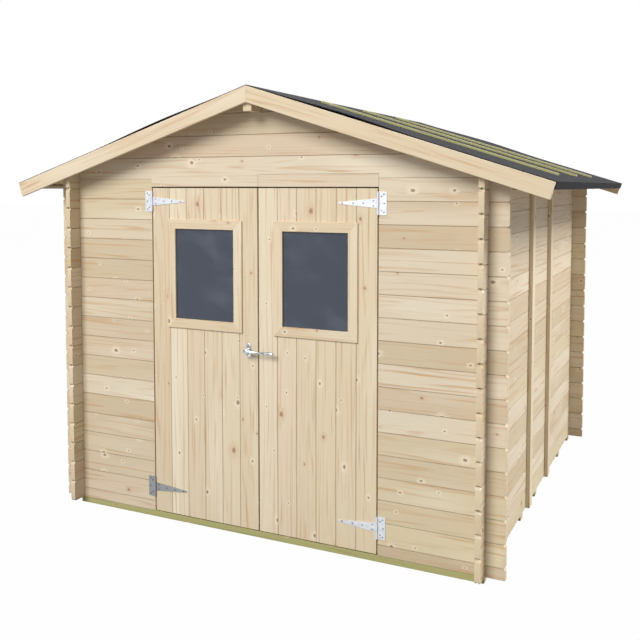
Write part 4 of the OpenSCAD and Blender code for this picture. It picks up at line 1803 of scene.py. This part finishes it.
@dataclass
class Studio:
    """Pale floor, soft light and the camera."""

    eye: Point = (2.149, -5.033, 1.874)
    tilt: float = 0.060
    yaw: float = 0.4426
    lens: float = 46.77
    sensor: float = 36.0
    shift_y: float = -0.131
    clip: float = 200.0
    ambient: float = 0.32
    sky: Colour = (0.88, 0.96, 1.08, 1.0)
    white: Colour = (1.0, 1.0, 1.0, 1.0)
    floor_size: float = 120.0
    floor_grey: Colour = (0.24, 0.24, 0.24, 1.0)
    floor_rough: float = 0.9
    floor_white: float = 0.985
    lamps: tuple[tuple[str, Point, Point, float, float], ...] = (
        ("key", (-3.3, -14.2, 11.0), (0.0, -1.0, 0.6), 7.6, 2570.0),
        ("side", (10.6, 3.0, 11.2), (1.0, 0.0, 1.0), 6.0, 2330.0),
        ("back", (-9.4, 9.0, 9.0), (0.0, 0.0, 1.0), 5.0, 950.0))

    def camera(self) -> None:
        """Set the camera at the photograph's angle."""
        data = bpy.data.cameras.new("camera")
        data.lens, data.sensor_width, data.sensor_fit = self.lens, self.sensor, "HORIZONTAL"
        data.shift_y, data.clip_end = self.shift_y, self.clip
        camera = bpy.data.objects.new("camera", data)
        camera.location = self.eye
        camera.rotation_euler = (math.pi / 2 - self.tilt, 0.0, self.yaw)
        bpy.context.collection.objects.link(camera)
        bpy.context.scene.camera = camera

    @staticmethod
    def _seen(tree: bpy.types.NodeTree) -> bpy.types.NodeSocket:
        """Tell the rays of the camera, of gloss and of glass from those that light things.

        Args:
            tree: Node tree of the world or of the floor.

        Returns:
            A socket that gives 1 for those rays.
        """
        path = tree.nodes.new("ShaderNodeLightPath")
        total = path.outputs["Is Camera Ray"]
        for name in ("Is Glossy Ray", "Is Transmission Ray"):
            both = tree.nodes.new("ShaderNodeMath")
            both.operation = "MAXIMUM"
            tree.links.new(total, both.inputs[0])
            tree.links.new(path.outputs[name], both.inputs[1])
            total = both.outputs[0]
        return total

    def world(self) -> None:
        """Make a world that lights softly and looks white."""
        scene = bpy.context.scene
        scene.view_settings.view_transform = "Standard"
        world = bpy.data.worlds.new("studio")
        world.use_nodes = True
        scene.world = world
        tree = world.node_tree
        soft = tree.nodes["Background"]
        soft.inputs["Color"].default_value = self.sky
        soft.inputs["Strength"].default_value = self.ambient
        white = tree.nodes.new("ShaderNodeBackground")
        white.inputs["Color"].default_value = self.white
        mixed = tree.nodes.new("ShaderNodeMixShader")
        tree.links.new(self._seen(tree), mixed.inputs[0])
        tree.links.new(soft.outputs[0], mixed.inputs[1])
        tree.links.new(white.outputs[0], mixed.inputs[2])
        tree.links.new(mixed.outputs[0], tree.nodes["World Output"].inputs[0])

    def floor(self) -> None:
        """Lay a floor that looks white and keeps the shed's shadow."""
        bpy.ops.object.select_all(action="DESELECT")
        bpy.ops.mesh.primitive_plane_add(size=self.floor_size)
        floor = bpy.context.active_object
        floor.name = "studio_floor"
        sheet = Sheet("studio_floor")
        sheet.set(Base_Color=self.floor_grey, Roughness=self.floor_rough)
        glow = sheet.add("ShaderNodeEmission", None, {"Strength": 1.0})
        share = Wire(sheet, self._seen(sheet.tree)) * self.floor_white
        mixed = sheet.add("ShaderNodeMixShader", None, {
            0: share, 1: Wire(sheet, sheet.shader.outputs[0]), 2: glow})
        sheet.tree.links.new(mixed.socket, sheet.tree.nodes["Material Output"].inputs[0])
        floor.data.materials.append(sheet.material)

    def lights(self) -> None:
        """Hang the soft lamps."""
        for name, place, target, size, power in self.lamps:
            data = bpy.data.lights.new(name, "AREA")
            data.energy, data.size = power, size
            lamp = bpy.data.objects.new(name, data)
            lamp.location = place
            way = Vector(target) - Vector(place)
            lamp.rotation_euler = way.to_track_quat("-Z", "Y").to_euler()
            bpy.context.collection.objects.link(lamp)


@dataclass
class Shed:
    """The whole shed: its finishes and its sub-assemblies."""

    nodes: dict[str, Object]
    bench: Bench = field(default_factory=Bench)
    roofline: Roofline = field(default_factory=Roofline)
    wall: tuple[Colour, ...] = (
        tint(221, 207, 181), tint(213, 196, 167), tint(200, 180, 147), tint(214, 194, 167),
        tint(207, 189, 157), tint(217, 203, 167))
    pale: tuple[Colour, ...] = (
        tint(227, 211, 182), tint(222, 203, 171), tint(218, 198, 165), tint(225, 206, 177))
    green: tuple[Colour, ...] = (tint(184, 178, 122), tint(166, 162, 104), tint(192, 182, 128))
    light_green: tuple[Colour, ...] = (
        tint(172, 168, 116), tint(164, 161, 108), tint(178, 171, 122))
    # Shares of the painted shade in the V-grooves of the wall and door boards
    wall_groove_shade: float = 0.42
    door_groove_shade: float = 0.6

    def _carry_over(self, names: tuple[str, ...], material: Material) -> None:
        """Put a material on solids that stay as they are.

        Args:
            names: Nodes of the solids.
            material: Their finish.
        """
        for name in names:
            for slot in self.nodes[name].material_slots:
                slot.material = material
            log.info("%s keeps its solid", name)

    def build(self) -> None:
        """Build and dress everything."""
        wall_x = Timber("pine_across", Grain.ACROSS, self.wall,
                        groove_shade_share=self.wall_groove_shade).material()
        wall_y = Timber("pine_backward", Grain.BACKWARD, self.wall,
                        groove_shade_share=self.wall_groove_shade).material()
        door = Timber("door_upright", Grain.UPRIGHT, groove_shade_share=self.door_groove_shade).material()
        post = Timber("pine_upright", Grain.UPRIGHT).material()
        slope = Timber("pine_down_slope", Grain.DOWN_SLOPE).material()
        trim = Timber("trim_down_slope", Grain.DOWN_SLOPE, self.pale,
                      tint(192, 142, 92)).material()
        stile = Timber("trim_upright", Grain.UPRIGHT, self.pale).material()
        rail = Timber("trim_across", Grain.ACROSS, self.pale).material()
        treated = Timber("treated_across", Grain.ACROSS, self.green, tint(112, 106, 56),
                         tint(200, 194, 146), tint(160, 158, 100)).material()
        lath = Timber("treated_down_slope", Grain.DOWN_SLOPE, self.light_green,
                      tint(142, 136, 84), tint(194, 190, 150), tint(160, 154, 104)).material()
        felt, zinc = MineralFelt().material(), Zinc().material()
        screw = Zinc("screw_steel", tint(158, 160, 164), tint(108, 110, 114),
                     tint(96, 97, 99)).material()
        nickel, pane = Nickel().material(), Pane().material()

        walls = Walls(self.bench, self.roofline)
        walls.front(wall_x)
        walls.rear(wall_x)
        walls.sides(wall_y)
        walls.battens_and_jambs(post)
        Base(self.bench).build(treated, wall_y)
        roof = Roof(self.bench, self.roofline)
        roof.decks(slope)
        roof.edges(wall_y, trim)
        roof.ridge(wall_y)
        roof.felts(felt)
        roof.felt_battens(lath)
        Leaves(self.bench).build(door, wall_x, stile, rail)
        iron = Ironwork(self.bench)
        iron.screws(screw)
        iron.handle(nickel)
        self._carry_over(("left_hinge_plates", "right_hinge_plates",
                          "left_hinge_straps", "right_hinge_straps"), zinc)
        self._carry_over(("left_window_glass", "right_window_glass"), pane)


def main() -> None:
    """Load the frame and build the shed in its studio."""
    logging.basicConfig(level=logging.INFO, format="%(name)s %(message)s")
    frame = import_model()
    studio = Studio()
    studio.camera()
    Shed(frame["nodes"]).build()
    studio.world()
    studio.floor()
    studio.lights()


if __name__ == "__main__":
    main()
